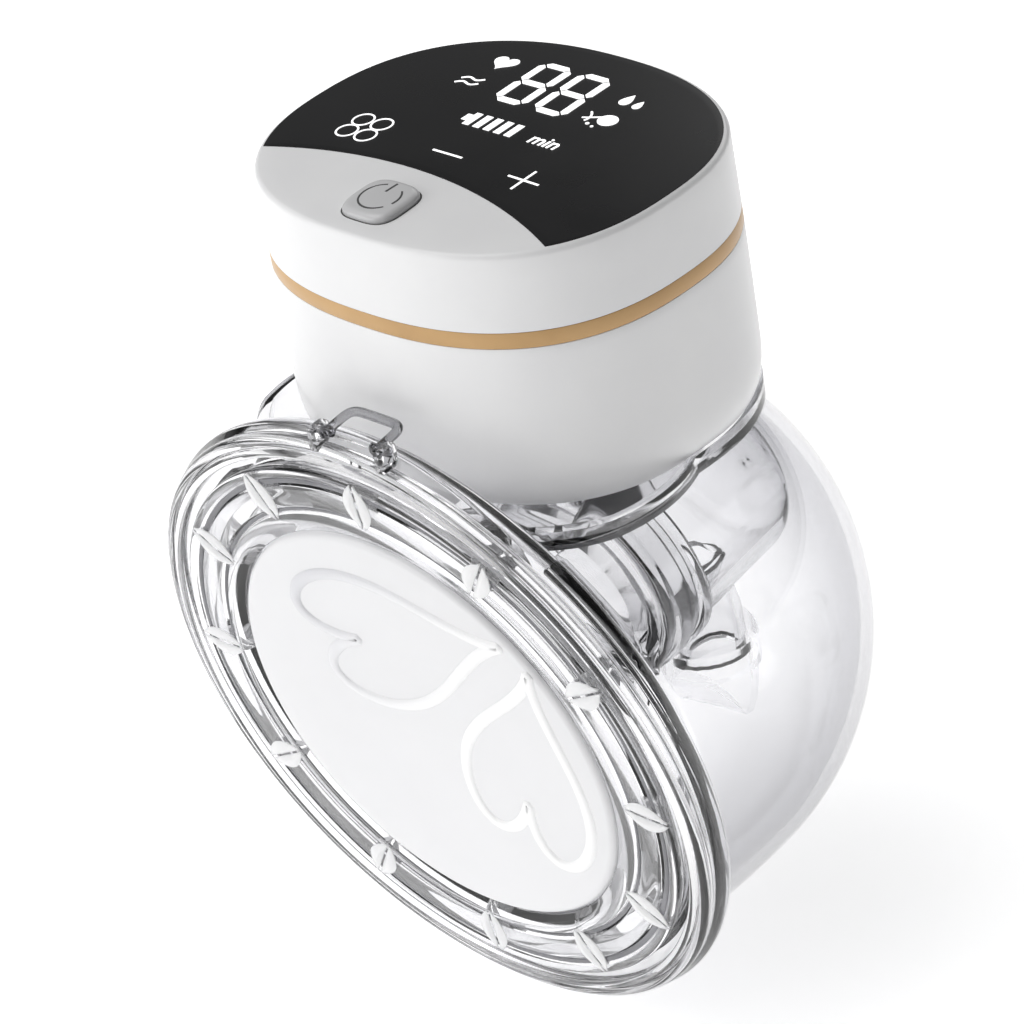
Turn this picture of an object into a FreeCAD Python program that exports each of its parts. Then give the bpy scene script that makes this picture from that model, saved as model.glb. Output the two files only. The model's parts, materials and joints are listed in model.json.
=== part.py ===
"""Wearable breast pump: a clear milk cup with a round breast flange, and a battery pump unit on its tray.

Frame: +Z up, origin on the table under the pump unit's axis; the flange faces -Y and the cup's dome faces +Y.
"""
import FreeCAD, Part
import math
import os
import re
import Sketcher
from FreeCAD import Placement, Rotation, Vector

# Driving dimensions, in millimetres and degrees.
DIMENSIONS = {
    # breast flange and its ring
    "flange_tilt": 9, "flange_centre_y": -29.4, "ring_radius": 53, "lip_round": 3.6, "lip_middle": -0.6,
    "lip_inner": 48.8, "ledge_inner": 41, "ledge_thick": 2,
    # milk cup
    "cup_wall": 2, "cup_root_radius": 48.5, "dome_radius": 45.5, "dome_depth": 28.5, "dome_drop": 6.2,
    "cup_top": 89.5, "foot_half": 11, "foot_back": -14, "foot_front": 4, "foot_corner": 3,
    # tray on top of the cup
    "tray_floor": 1.8, "tray_top": 95, "tray_wall": 1.4, "tray_half_x": 36.8, "tray_half_y": 31.9,
    "wing_front": -32.5, "wing_front_half": 28, "wing_half": 39.2, "wing_middle": -12, "wing_end": -2,
    # shield, linker and valves
    "tunnel_bore": 12, "silicone_wall": 1.8, "funnel_depth": 24, "shield_rim": 46.5, "shield_rim_thick": 1.3,
    "collar_start": 29, "collar_end": 40.5, "collar_radius": 18, "linker_radius": 16.6, "linker_wall": 2,
    "linker_start": 31.5, "linker_end": 66.5, "linker_round": 5, "stem_y": 14, "stem_radius": 4, "seat_y": 7.5,
    "seat_radius": 11.3, "seat_depth": 8, "spout_y": 27, "spout_radius": 5.5, "spout_end": 30.4,
    "valve_flange": 7.6, "bill_tip": 20.4, "diaphragm_radius": 10,
    # dust cover
    "cover_radius": 47.2, "cover_back": 1.9, "cover_front": 3, "disc_radius": 35.5, "disc_front": 4.2,
    "tab_count": 12, "tab_radius": 43.4, "tab_length": 7.6, "tab_width": 7.8, "tab_slit": 0.8, "tab_rise": 1.1,
    "heart_rib": 1.9, "heart_rise": 0.8,
    # strap loop
    "loop_centre_x": 1.5, "loop_half": 5.4, "loop_bar": 1.6, "loop_depth": 5.2, "loop_lean": 28,
    "loop_pin": 0.8, "lug_thick": 2, "lug_reach": 2.4,
    # pump unit
    "unit_half_x": 35, "unit_half_y": 29.7, "unit_power": 2.4, "unit_bottom": 91.6, "unit_rim": 133.9,
    "bulge": 0.1, "bulge_level": 117, "bulge_span": 17, "round_in": 2.6, "round_up": 7.4,
    "shell_wall": 1.6, "band_bottom": 118.8, "band_top": 121.4, "crown": 1, "crown_span": 100,
    "panel_inset": 0.8, "panel_thick": 1.1, "panel_gap": 0.12, "crescent_x": -5, "crescent_radius": 76, "crescent_edge": -11.4,
    "button_x": -1.2, "button_y": -21.4, "button_half": 4.9, "button_corner": 2.4, "button_rise": 1.3, "button_gap": 0.25,
    "button_foot": 130.6, "board_bottom": 125.2, "board_thick": 1.2, "post_radius": 2.8,
    "motor_y": -8, "motor_level": 105.2, "motor_radius": 10, "motor_back": -25, "motor_front": -1,
    "shaft_radius": 1, "shaft_fit": 0.06, "crank_radius": 5, "head_half": 10.4, "head_front": 15,
    "nozzle_radius": 3.6, "nozzle_bore": 1.4, "hose_radius": 2, "hose_bore": 1.1, "hose_level": 98,
    "valve_back": 18, "valve_front": 29, "valve_top": 110, "plunger_radius": 2, "plunger_fit": 0.06,
}

POST_PLACES = ((-23.5, 15), (23.5, 15), (23.5, -14.5), (-12, -21.8))

document = FreeCAD.newDocument("breast_pump")
sheet = document.addObject("Spreadsheet::Sheet", "dims")
sub_parts = []


def fill_sheet():
    """Write every driving dimension into the spreadsheet, with its alias."""
    for row, (alias, number) in enumerate(DIMENSIONS.items(), start=1):
        sheet.set(f"A{row}", alias)
        sheet.set(f"B{row}", str(number))
        sheet.setAlias(f"B{row}", alias)
    document.recompute()


def bound(expression):
    """An expression whose dimension names point at the spreadsheet."""
    def link(word):
        return "dims." + word.group() if word.group() in DIMENSIONS else word.group()
    return re.sub(r"[a-z_]+", link, str(expression))


def size(expression):
    """The number that an expression of dimensions has now."""
    return float(sheet.evalExpression(bound(expression)))


def keep(item, label, placement=None):
    """Name a finished sub-part, place it and put it on the list that is written out."""
    item.Label = label
    if placement is not None:
        item.Placement = placement
    sub_parts.append(item)
    return item


def flange_frame():
    """Local frame of the flange: X across, Y up its face, Z out towards the wearer."""
    tilt = math.radians(size("flange_tilt"))
    lip = size("ring_radius - lip_round")
    height = lip * math.cos(tilt) + size("lip_middle") * math.sin(tilt) + size("lip_round")
    return Placement(Vector(0, size("flange_centre_y"), height), Rotation(Vector(1, 0, 0), 90 + size("flange_tilt")))


def upright(across, along, height=0):
    """Placement of an upright piece."""
    return Placement(Vector(across, along, height), Rotation())


# ---------------------------------------------------------------- sketches and simple solids

def origin_plane(body, role):
    return next(item for item in body.Origin.OriginFeatures if item.Role == role)


def new_sketch(body, name, role):
    sketch = body.newObject("Sketcher::SketchObject", name)
    sketch.AttachmentSupport = [(origin_plane(body, role), "")]
    sketch.MapMode = "FlatFace"
    return sketch


def arc_between(start, end, radius):
    """Arc from start to end; a positive radius bulges to the right of the way."""
    chord = end - start
    half = chord.Length / 2
    rise = abs(radius) - math.sqrt(max(radius * radius - half * half, 0))
    side = Vector(chord.y, -chord.x, 0).normalize() * math.copysign(rise, radius)
    return Part.Arc(start, (start + end) * 0.5 + side, end)


def outline(body, name, role, corners):
    """Closed sketch through corners (x, y) or (x, y, radius of the arc that starts there)."""
    sketch = new_sketch(body, name, role)
    places = [Vector(size(corner[0]), size(corner[1]), 0) for corner in corners]
    for index, corner in enumerate(corners):
        start = places[index]
        end = places[(index + 1) % len(places)]
        if len(corner) == 3:
            sketch.addGeometry(arc_between(start, end, size(corner[2])))
        else:
            sketch.addGeometry(Part.LineSegment(start, end))
    tie_corners(sketch, corners, places)
    return sketch


def tie_corners(sketch, corners, places):
    """Close the sketch and bind each corner and arc to its expression."""
    start_points = [start_vertex(sketch, index, place) for index, place in enumerate(places)]
    count = len(corners)
    for index in range(count):
        following = (index + 1) % count
        end_vertex = 3 - start_points[index]
        joined = Sketcher.Constraint("Coincident", index, end_vertex, following, start_points[following])
        sketch.addConstraint(joined)
    for index, corner in enumerate(corners):
        for kind, value in (("DistanceX", corner[0]), ("DistanceY", corner[1])):
            rule = Sketcher.Constraint(kind, -1, 1, index, start_points[index], size(value))
            bind(sketch, sketch.addConstraint(rule), f"{kind}{index}", value)
        if len(corner) == 3:
            rule = Sketcher.Constraint("Radius", index, abs(size(corner[2])))
            bind(sketch, sketch.addConstraint(rule), f"Radius{index}", f"abs({corner[2]})")


def start_vertex(sketch, index, place):
    """Which end of an edge (1 or 2) lies at a corner: an arc may be stored the other way round."""
    return 1 if sketch.getPoint(index, 1).distanceToPoint(place) < 1e-6 else 2


def bind(sketch, number, name, expression):
    sketch.renameConstraint(number, name)
    sketch.setExpression(f"Constraints.{name}", bound(expression))


def turned(label, corners, placement):
    """Body turned about its own Z from a profile of (radius, height) corners."""
    body = document.addObject("PartDesign::Body", label)
    turn = body.newObject("PartDesign::Revolution", label + "_turn")
    profile = outline(body, label + "_profile", "XZ_Plane", corners)
    turn.Profile = profile
    turn.ReferenceAxis = (profile, ["V_Axis"])
    turn.Angle = 360
    body.Tip = turn
    document.recompute()
    return keep(body, label, placement)


def tube(label, outer, bore, start, end, placement):
    corners = ((bore, start), (outer, start), (outer, end), (bore, end))
    return turned(label, corners, placement)


def block(label, half_x, half_y, height, placement, corner=None):
    """Body padded up from a centred rectangle, with its upright edges rounded if a corner is given."""
    body = document.addObject("PartDesign::Body", label)
    negative_x = f"-({half_x})"
    negative_y = f"-({half_y})"
    corners = ((negative_x, negative_y), (half_x, negative_y), (half_x, half_y), (negative_x, half_y))
    pad = body.newObject("PartDesign::Pad", label + "_pad")
    pad.Profile = outline(body, label + "_plan", "XY_Plane", corners)
    pad.setExpression("Length", bound(height))
    body.Tip = pad
    document.recompute()
    if corner is not None:
        fillet = body.newObject("PartDesign::Fillet", label + "_corners")
        fillet.Base = (pad, upright_edges(pad.Shape))
        fillet.setExpression("Radius", bound(corner))
        body.Tip = fillet
        document.recompute()
    return keep(body, label, placement)


def upright_edges(shape):
    names = []
    for number, edge in enumerate(shape.Edges, start=1):
        ends = edge.Vertexes
        if len(ends) == 2 and abs(ends[0].Z - ends[1].Z) > 1e-3:
            names.append(f"Edge{number}")
    return names


def feature(label, shape, placement=None):
    """Sub-part whose shape is worked out here from the sheet's sizes."""
    item = document.addObject("Part::Feature", label)
    item.Shape = shape
    return keep(item, label, placement)


def cylinder(radius, start, end, across=0.0, along=0.0):
    return Part.makeCylinder(radius, end - start, Vector(across, along, start))


def cuboid(low, high):
    spans = [top - bottom for bottom, top in zip(low, high)]
    return Part.makeBox(*spans, Vector(*low))


# ---------------------------------------------------------------- curved outlines of the pump unit

def superellipse(half_x, half_y, height):
    """Closed smooth outline |x/a|^n + |y/b|^n = 1 at one height."""
    power = size("unit_power")
    count = 40
    places = []
    for step in range(count):
        angle = 2 * math.pi * step / count
        reach = (abs(math.cos(angle) / half_x) ** power + abs(math.sin(angle) / half_y) ** power) ** (-1 / power)
        places.append(Vector(reach * math.cos(angle), reach * math.sin(angle), height))
    curve = Part.BSplineCurve()
    curve.interpolate(places, PeriodicFlag=True)
    return Part.Wire(curve.toShape())


def wall_offset(height):
    """How far the unit's side stands out from its rim outline at a height."""
    level = (height - size("bulge_level")) / size("bulge_span")
    offset = size("bulge") * (1 - min(level * level, 1.3))
    rise = height - size("unit_bottom")
    if rise < size("round_up"):
        fraction = 1 - rise / size("round_up")
        offset -= size("round_in") * (1 - math.sqrt(1 - fraction * fraction))
    return offset


def unit_solid(inset, low, high, levels=6):
    """Solid of the unit's outer form between two heights, drawn in by an inset."""
    spans = [low + (high - low) * (step / (levels - 1)) ** 1.6 for step in range(levels)]
    wires = []
    for level in spans:
        offset = wall_offset(level) - inset
        wires.append(superellipse(size("unit_half_x") + offset, size("unit_half_y") + offset, level))
    return Part.makeLoft(wires, True, False)


def prism(inset, low, high):
    """Straight solid of the rim outline, drawn in by an inset."""
    wire = superellipse(size("unit_half_x") - inset, size("unit_half_y") - inset, low)
    return Part.Face(wire).extrude(Vector(0, 0, high - low))


def crown_solid(lowered):
    """Wide shallow ellipsoid whose top is the unit's crowned top face, lowered by a distance."""
    span = size("crown_span")
    edge = size("unit_half_x") / span
    depth = size("crown") / (1 - math.sqrt(1 - edge * edge))
    top = size("unit_rim + crown") - lowered
    ball = Part.makeSphere(1, Vector(0, 0, 0))
    matrix = FreeCAD.Matrix()
    matrix.scale(span, span * size("unit_half_y / unit_half_x"), depth)
    ball = ball.transformGeometry(matrix)
    ball.translate(Vector(0, 0, top - depth))
    return ball


def crescent(grow):
    """Round region at the wearer's side of the top, which the display panel leaves white."""
    radius = size("crescent_radius")
    low = size("unit_rim") - 8
    return cylinder(radius + grow, low, low + 16, size("crescent_x"), size("crescent_edge") - radius)


def rounded_square(half, corner, low, high, across, along):
    square = cuboid((across - half, along - half, low), (across + half, along + half, high))
    edges = [edge for edge in square.Edges if abs(edge.tangentAt(edge.FirstParameter).z) > 0.9]
    return square.makeFillet(corner, edges)


# ---------------------------------------------------------------- milk cup, tray and foot

def cup_sections(inset):
    """Circles that run from the ring to the dome's equator, in the flange frame."""
    wires = []
    count = 7
    depth = size("dome_depth")
    for step in range(count):
        share = step / (count - 1)
        ease = share * share * (3 - 2 * share)
        radius = size("cup_root_radius") * (1 - ease) + size("dome_radius") * ease - inset
        centre = Vector(0, -size("dome_drop") * ease, -depth * share)
        wires.append(Part.Wire(Part.makeCircle(radius, centre, Vector(0, 0, 1))))
    return wires


def cup_form(inset):
    """Solid form of the cup, in the flange frame: an eased loft closed by half a sphere."""
    neck = Part.makeLoft(cup_sections(inset), True, False)
    centre = Vector(0, -size("dome_drop"), -size("dome_depth"))
    dome = Part.makeSphere(size("dome_radius") - inset, centre, Vector(0, 0, -1), 0, 90, 360)
    return neck.fuse(dome)


def collector_ring():
    """Lip and ledge of the flange, turned in the flange frame."""
    outer = size("ring_radius - lip_round")
    front = size("lip_middle + lip_round")
    back = size("lip_middle - lip_round")
    inner = size("lip_inner")
    root = size("cup_root_radius - cup_wall")
    thick = size("ledge_thick")
    ledge = size("ledge_inner")
    middle = Vector(size("ring_radius"), 0, size("lip_middle"))
    round_edge = Part.Arc(Vector(outer, 0, back), middle, Vector(outer, 0, front)).toShape()
    corners = ((outer, front), (inner, front), (inner, 0), (ledge, 0), (ledge, -thick), (root, -thick),
               (root, back), (outer, back))
    straight = Part.makePolygon([Vector(radius, 0, height) for radius, height in corners])
    face = Part.Face(Part.Wire([round_edge] + straight.Edges))
    return face.revolve(Vector(0, 0, 0), Vector(0, 0, 1), 360)


def stand_foot():
    """Flat foot under the dome, before the dome's hollow is taken out of it."""
    half = size("foot_half")
    centre_y = size("(foot_back + foot_front) / 2")
    reach = size("(foot_front - foot_back) / 2")
    foot = cuboid((-half, centre_y - reach, 0), (half, centre_y + reach, 10))
    edges = [edge for edge in foot.Edges if abs(edge.tangentAt(edge.FirstParameter).z) > 0.9]
    return foot.makeFillet(size("foot_corner"), edges)


def lug(side):
    """Small block on top of the ring that holds one pin of the strap loop."""
    inner = size("loop_half + 0.2")
    across = size("loop_centre_x") + side * (inner + size("lug_thick") / 2)
    half = size("lug_thick") / 2
    pivot = loop_pivot()
    foot = cuboid((across - half, pivot.y - 1.8, pivot.z - 3.2), (across + half, pivot.y + 1.8, pivot.z))
    eye = Part.makeCylinder(1.8, 2 * half, Vector(across - half, pivot.y, pivot.z), Vector(1, 0, 0))
    hole_reach = half + size("loop_pin")
    hole = Part.makeCylinder(size("loop_pin") + 0.06, 2 * hole_reach, Vector(across - hole_reach, pivot.y, pivot.z),
                             Vector(1, 0, 0))
    return foot.fuse(eye).cut(hole)


def loop_pivot():
    """Middle of the strap loop's hinge line, above the top of the ring."""
    crest = flange_frame().multVec(Vector(0, size("ring_radius"), size("lip_middle")))
    return Vector(size("loop_centre_x"), crest.y, crest.z + size("lug_reach") - 1)


def make_collector_ring():
    """Ring that the dust cover clips into, with the strap loop's two lugs."""
    ring = collector_ring()
    ring.Placement = flange_frame()
    for side in (-1, 1):
        ring = ring.fuse(lug(side))
    feature("collector_ring", ring.removeSplitter())


def make_collector_cup():
    """Clear dome with its foot; it meets the ring face to face."""
    frame = flange_frame()
    outer = cup_form(0)
    hollow = cup_form(size("cup_wall"))
    ring = collector_ring()
    front_stop = cylinder(size("ledge_inner"), -size("ledge_thick") - 2, 1)
    for item in (outer, hollow, ring, front_stop):
        item.Placement = frame
    top = cuboid((-80, -80, size("cup_top")), (80, 80, 160))
    shell = outer.fuse(stand_foot()).cut([hollow, top, front_stop, ring])
    feature("collector_cup", shell.removeSplitter())


def tray_plan(inset, low, high):
    """Tray outline: the unit's own oval with two wings that reach the back of the ring."""
    half_x = size("tray_half_x") - inset
    half_y = size("tray_half_y") - inset
    oval = Part.Face(superellipse(half_x, half_y, low))
    front = size("wing_front") + inset
    front_half = size("wing_front_half") - inset * 0.5
    wide = size("wing_half") - inset
    middle = size("wing_middle")
    end = size("wing_end")
    shoulder = (wide - 1.2, (front + middle) / 2 - 0.5)
    edges = [
        Part.makeLine(Vector(-front_half, front, low), Vector(front_half, front, low)),
        Part.Arc(Vector(front_half, front, low), Vector(wide - 4.6, front + 4.6, low),
                 Vector(shoulder[0], shoulder[1], low)).toShape(),
        Part.Arc(Vector(shoulder[0], shoulder[1], low), Vector(wide, middle, low),
                 Vector(half_x - 0.3, end, low)).toShape(),
        Part.makeLine(Vector(half_x - 0.3, end, low), Vector(-half_x + 0.3, end, low)),
        Part.Arc(Vector(-half_x + 0.3, end, low), Vector(-wide, middle, low),
                 Vector(-shoulder[0], shoulder[1], low)).toShape(),
        Part.Arc(Vector(-shoulder[0], shoulder[1], low), Vector(-wide + 4.6, front + 4.6, low),
                 Vector(-front_half, front, low)).toShape(),
    ]
    wings = Part.Face(Part.Wire(edges))
    up = Vector(0, 0, high - low)
    return oval.extrude(up).fuse(wings.extrude(up)).removeSplitter()


def make_cup_tray():
    low = size("cup_top")
    floor = size("cup_top + tray_floor")
    top = size("tray_top")
    tray = tray_plan(0, low, top).cut(tray_plan(size("tray_wall"), floor, top + 1))
    ring_side = cuboid((-80, -80, size("lip_middle - lip_round") - 0.05), (80, 80, 40))
    ring_side.Placement = flange_frame()
    funnel_side = cylinder(size("ledge_inner"), -6, 1)
    funnel_side.Placement = flange_frame()
    seat = cylinder(size("seat_radius") + 0.1, low - 1, floor + 1, 0, size("seat_y"))
    feature("cup_tray", tray.cut([ring_side, funnel_side, seat]))


# ---------------------------------------------------------------- shield, linker and valves

def make_breast_shield():
    """Silicone rim and funnel, down to the mouth of its tunnel."""
    wall = "silicone_wall"
    corners = (
        ("shield_rim", "0.05"), ("shield_rim", "shield_rim_thick"), ("ledge_inner + 1", "shield_rim_thick", 6),
        ("ledge_inner - 3", "-2"), ("tunnel_bore + 2", "-funnel_depth + 1.5", 5), ("tunnel_bore", "-funnel_depth - 2"),
        (f"tunnel_bore + {wall}", "-funnel_depth - 2", -5),
        (f"tunnel_bore + {wall} + 2", "-funnel_depth - 0.5"), ("ledge_inner - 2.6", "-4"),
        ("ledge_inner - 0.2", "-1.4"), ("ledge_inner - 0.2", "0.05"),
    )
    turned("breast_shield", corners, flange_frame())


def make_shield_tunnel():
    """Silicone tunnel that joins the funnel's mouth, with a collar that folds over the linker's end."""
    wall = "silicone_wall"
    corners = (
        ("tunnel_bore", "-funnel_depth - 2"), ("tunnel_bore", "-collar_end + 0.6"),
        ("linker_radius - linker_wall - 0.15", "-collar_end + 0.6"),
        ("linker_radius - linker_wall - 0.15", "-linker_start + 0.2"),
        ("linker_radius + 0.05", "-linker_start + 0.2"), ("linker_radius + 0.05", "-collar_end"),
        ("collar_radius", "-collar_end"), ("collar_radius", "-collar_start"),
        (f"tunnel_bore + {wall}", "-collar_start"), (f"tunnel_bore + {wall}", "-funnel_depth - 2"),
    )
    turned("shield_tunnel_sleeve", corners, flange_frame())


def make_linker():
    """Rigid duct: mouth and chamber on the flange axis, a seat above for the diaphragm, a spout below."""
    frame = flange_frame()
    outer = size("linker_radius")
    inner = size("linker_radius - linker_wall")
    start = -size("linker_start")
    end = -size("linker_end")
    chamber = cylinder(outer, end, start)
    far_rim = [edge for edge in chamber.Edges if len(edge.Vertexes) == 1 and abs(edge.Vertexes[0].Z - end) < 0.01]
    chamber = chamber.makeFillet(size("linker_round"), far_rim)
    hollow = cylinder(inner, end + size("linker_wall"), start + 1)
    chamber.Placement = frame
    hollow.Placement = frame
    wall = 1.6
    seat_top = size("cup_top + tray_floor")
    seat_bottom = seat_top - size("seat_depth")
    axis_z = frame.multVec(Vector(0, 0, -size("linker_start") - 14)).z
    seat = cylinder(size("seat_radius"), seat_bottom, seat_top - 0.1, 0, size("seat_y"))
    stem = cylinder(size("stem_radius"), axis_z, seat_bottom + 1, 0, size("stem_y"))
    spout = cylinder(size("spout_radius"), size("spout_end"), axis_z, 0, size("spout_y"))
    seat_hollow = cylinder(size("seat_radius") - 1.1, seat_bottom + wall, seat_top + 1, 0, size("seat_y"))
    stem_hollow = cylinder(size("stem_radius") - wall, axis_z, seat_bottom + 3, 0, size("stem_y"))
    spout_hollow = cylinder(size("spout_radius") - wall, size("spout_end") - 1, axis_z, 0, size("spout_y"))
    body = chamber.fuse([seat, stem, spout])
    feature("linker", body.cut([hollow, seat_hollow, stem_hollow, spout_hollow]).removeSplitter())


def make_diaphragm():
    """Thin silicone bowl that closes the seat and pulls on the milk side."""
    top = "cup_top + tray_floor"
    bowl = "diaphragm_radius"
    corners = (
        (0, f"{top} - 5.2"), (f"{bowl} - 3", f"{top} - 5.2", 2.2), (f"{bowl} - 0.9", f"{top} - 3"),
        (f"{bowl} - 0.9", f"{top} - 0.7"), (f"{bowl} + 0.15", f"{top} - 0.7"), (f"{bowl} + 0.15", f"{top} - 0.1"),
        (f"{bowl} - 1.7", f"{top} - 0.1"), (f"{bowl} - 1.7", f"{top} - 3", -1.4), (f"{bowl} - 3", f"{top} - 4.4"),
        (0, f"{top} - 4.4"),
    )
    turned("suction_diaphragm", corners, upright(0, size("seat_y")))


def make_duckbill():
    """One-way milk valve: a sleeve on the spout that narrows to two lips."""
    top = size("spout_end") + 3.4
    neck = size("spout_end") - 1.6
    tip = size("bill_tip")
    flange = size("valve_flange")
    sleeve = cylinder(flange, neck, top).cut(cylinder(size("spout_radius") + 0.05, size("spout_end"), top + 1))
    bill = wedge(flange - 1.6, 0.7, neck + 0.2, tip).common(cylinder(flange - 1.4, tip, neck + 0.2))
    hollow = wedge(flange - 2.8, 0.25, neck + 1, tip - 0.1).common(cylinder(flange - 2.6, tip - 1, neck + 1))
    opening = cylinder(size("spout_radius") - 1.6, neck, top)
    feature("duckbill_valve", sleeve.fuse(bill).cut([hollow, opening]), upright(0, size("spout_y")))


def wedge(half, lip, high, low):
    """Solid that narrows from a square at the top to a slit at the bottom."""
    return Part.makeLoft([rectangle(half, lip, low), rectangle(half, half, high)], True, True)


def rectangle(half_x, half_y, height):
    corners = ((-half_x, -half_y), (half_x, -half_y), (half_x, half_y), (-half_x, half_y), (-half_x, -half_y))
    return Part.makePolygon([Vector(across, along, height) for across, along in corners])


# ---------------------------------------------------------------- dust cover

def heart(length, width, grow):
    """Smooth heart outline with its tip at the origin and its lobes towards +X."""
    places = []
    count = 60
    for step in range(count):
        angle = 2 * math.pi * (step + 0.5) / count
        across = 16 * math.sin(angle) ** 3
        along = 13 * math.cos(angle) - 5 * math.cos(2 * angle) - 2 * math.cos(3 * angle) - math.cos(4 * angle)
        places.append(Vector((along + 17) / 29, across / 32, 0))
    middle = Vector(0.55, 0, 0)
    scaled = []
    for place in places:
        away = place - middle
        scaled.append(Vector(middle.x * length + away.x * (length + 2 * grow), away.y * (width + 2 * grow), 0))
    curve = Part.BSplineCurve()
    curve.interpolate(scaled, PeriodicFlag=True)
    return Part.Face(Part.Wire(curve.toShape()))


def heart_rib(tip, turn, length, width):
    """Raised heart outline on the cover's disc."""
    rib = size("heart_rib") / 2
    band = heart(length, width, rib).cut(heart(length, width, -rib))
    solid = band.extrude(Vector(0, 0, size("heart_rise") + 0.2))
    solid.Placement = Placement(Vector(*tip, size("disc_front") - 0.2), Rotation(Vector(0, 0, 1), turn))
    return solid


def make_dust_cover():
    """Snap-on cover for the flange: a grooved rim, a raised disc and two heart outlines."""
    groove = 0.5
    rim = size("cover_radius")
    back = size("cover_back")
    front = size("cover_front")
    disc = size("disc_radius")
    raised = size("disc_front")
    corners = (
        (0, back + 1.2), (disc - 1.6, back + 1.2), (disc - 1.6, back), (rim, back), (rim, front - 0.4),
        (rim - 0.4, front), (rim - 1.5, front), (rim - 1.9, front - groove), (rim - 2.3, front),
        (rim - 8.4, front), (rim - 9, front - groove), (disc + 0.6, front - groove), (disc, front - groove + 0.6),
        (disc, raised - 0.8), (disc - 0.8, raised), (0, raised),
    )
    profile = Part.makePolygon([Vector(radius, 0, height) for radius, height in corners + corners[:1]])
    disc_solid = Part.Face(profile).revolve(Vector(0, 0, 0), Vector(0, 0, 1), 360)
    hearts = [heart_rib((22.5, 22.5), 197, 46, 25), heart_rib((24.5, 19), 251.5, 41, 24)]
    feature("dust_cover", disc_solid.fuse(hearts[0].fuse(hearts[1])).removeSplitter(), flange_frame())


def make_snap_tabs():
    """Twelve pairs of small leaf-shaped catches round the cover's rim, each pair split by a slit."""
    low = size("cover_front") + 0.02
    half_length = size("tab_length / 2")
    half_width = size("tab_width / 2")
    slit = size("tab_slit / 2")
    oval = Part.makeCylinder(1, size("tab_rise"), Vector(0, 0, 0))
    matrix = FreeCAD.Matrix()
    matrix.scale(half_length, half_width, 1)
    oval = oval.transformGeometry(matrix)
    gap = cuboid((-10, -slit, -1), (10, slit, 4))
    tabs = []
    for number in range(int(size("tab_count"))):
        for leaf in oval.cut(gap).Solids:
            tab = leaf.copy()
            tab.translate(Vector(size("tab_radius"), 0, low))
            tab.rotate(Vector(0, 0, 0), Vector(0, 0, 1), number * 360 / size("tab_count"))
            tabs.append(tab)
    feature("cover_snap_tabs", Part.makeCompound(tabs), flange_frame())


def make_strap_loop():
    """Small bail that swings on two pins above the ring."""
    bar = size("loop_bar")
    half = size("loop_half")
    depth = size("loop_depth")
    pin = size("loop_pin")
    plate = cuboid((-half, -bar / 2, -bar / 2), (half, depth + bar / 2, bar / 2))
    window = cuboid((-half + bar, bar / 2 - 3, -bar), (half - bar, depth - bar / 2, bar))
    corners = [edge for edge in plate.Edges if abs(edge.tangentAt(edge.FirstParameter).z) > 0.9]
    far = [edge for edge in corners if edge.CenterOfMass.y > 0]
    frame = plate.makeFillet(bar, far).cut(window)
    reach = size("lug_thick") + 0.1
    pins = [Part.makeCylinder(pin, reach, Vector(side * (half - 0.05), 0, 0), Vector(side, 0, 0)) for side in (-1, 1)]
    lean = Rotation(Vector(1, 0, 0), size("loop_lean"))
    feature("strap_loop", frame.fuse(pins), Placement(loop_pivot(), lean))


# ---------------------------------------------------------------- pump unit: shells, panel and button

def make_lower_shell():
    low = size("unit_bottom")
    top = size("band_bottom")
    wall = size("shell_wall")
    shell = unit_solid(0, low, top, 9).cut(unit_solid(wall, low + wall, top, 9))
    bore = 0.9
    for across, along in POST_PLACES:
        post = cylinder(size("post_radius"), low + wall - 0.2, size("board_bottom") - 0.02, across, along)
        shell = shell.fuse(post)
        shell = shell.cut(cylinder(bore, size("board_bottom") - 7, size("board_bottom") + 1, across, along))
    nozzle_hole = cylinder(size("nozzle_radius") + 0.02, low - 1, low + wall + 1, 0, size("seat_y"))
    feature("lower_shell", shell.cut(nozzle_hole))


def make_accent_band():
    low = size("band_bottom")
    top = size("band_top")
    feature("accent_band", unit_solid(0, low, top, 3).cut(unit_solid(size("shell_wall"), low, top, 3)))


def panel_prism(gap):
    """Region of the top that the display panel fills, drawn in by a gap all round."""
    region = prism(size("panel_inset") + gap, size("unit_rim") - 6, size("unit_rim") + 6)
    return region.cut(crescent(gap))


def make_upper_shell():
    low = size("band_top")
    wall = size("shell_wall")
    lid = 2.4
    outer = unit_solid(0, low, size("unit_rim") + 4).common(crown_solid(0))
    inner = unit_solid(wall, low, size("unit_rim") + 4).common(crown_solid(lid))
    recess = panel_prism(0).cut(crown_solid(size("panel_thick") + 0.05))
    window = cuboid((-21, -8, 125), (21, 24, 140)).common(unit_solid(wall + 2, low, size("unit_rim") + 4))
    button_half = size("button_half + button_gap")
    button_hole = rounded_square(button_half, size("button_corner"), 126, 140, size("button_x"), size("button_y"))
    port_half = 4.7
    port_level = size("board_bottom") - 1.65
    port = Part.makeBox(2 * port_half, 14, 3.5, Vector(-port_half, 20, port_level - 1.75))
    long_edges = [edge for edge in port.Edges if abs(edge.tangentAt(edge.FirstParameter).y) > 0.9]
    port = port.makeFillet(1.6, long_edges)
    feature("upper_shell", outer.cut([inner, recess, window, button_hole, port]))


def make_display_panel():
    panel = panel_prism(size("panel_gap")).common(crown_solid(0)).cut(crown_solid(size("panel_thick")))
    feature("display_panel", panel)


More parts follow.
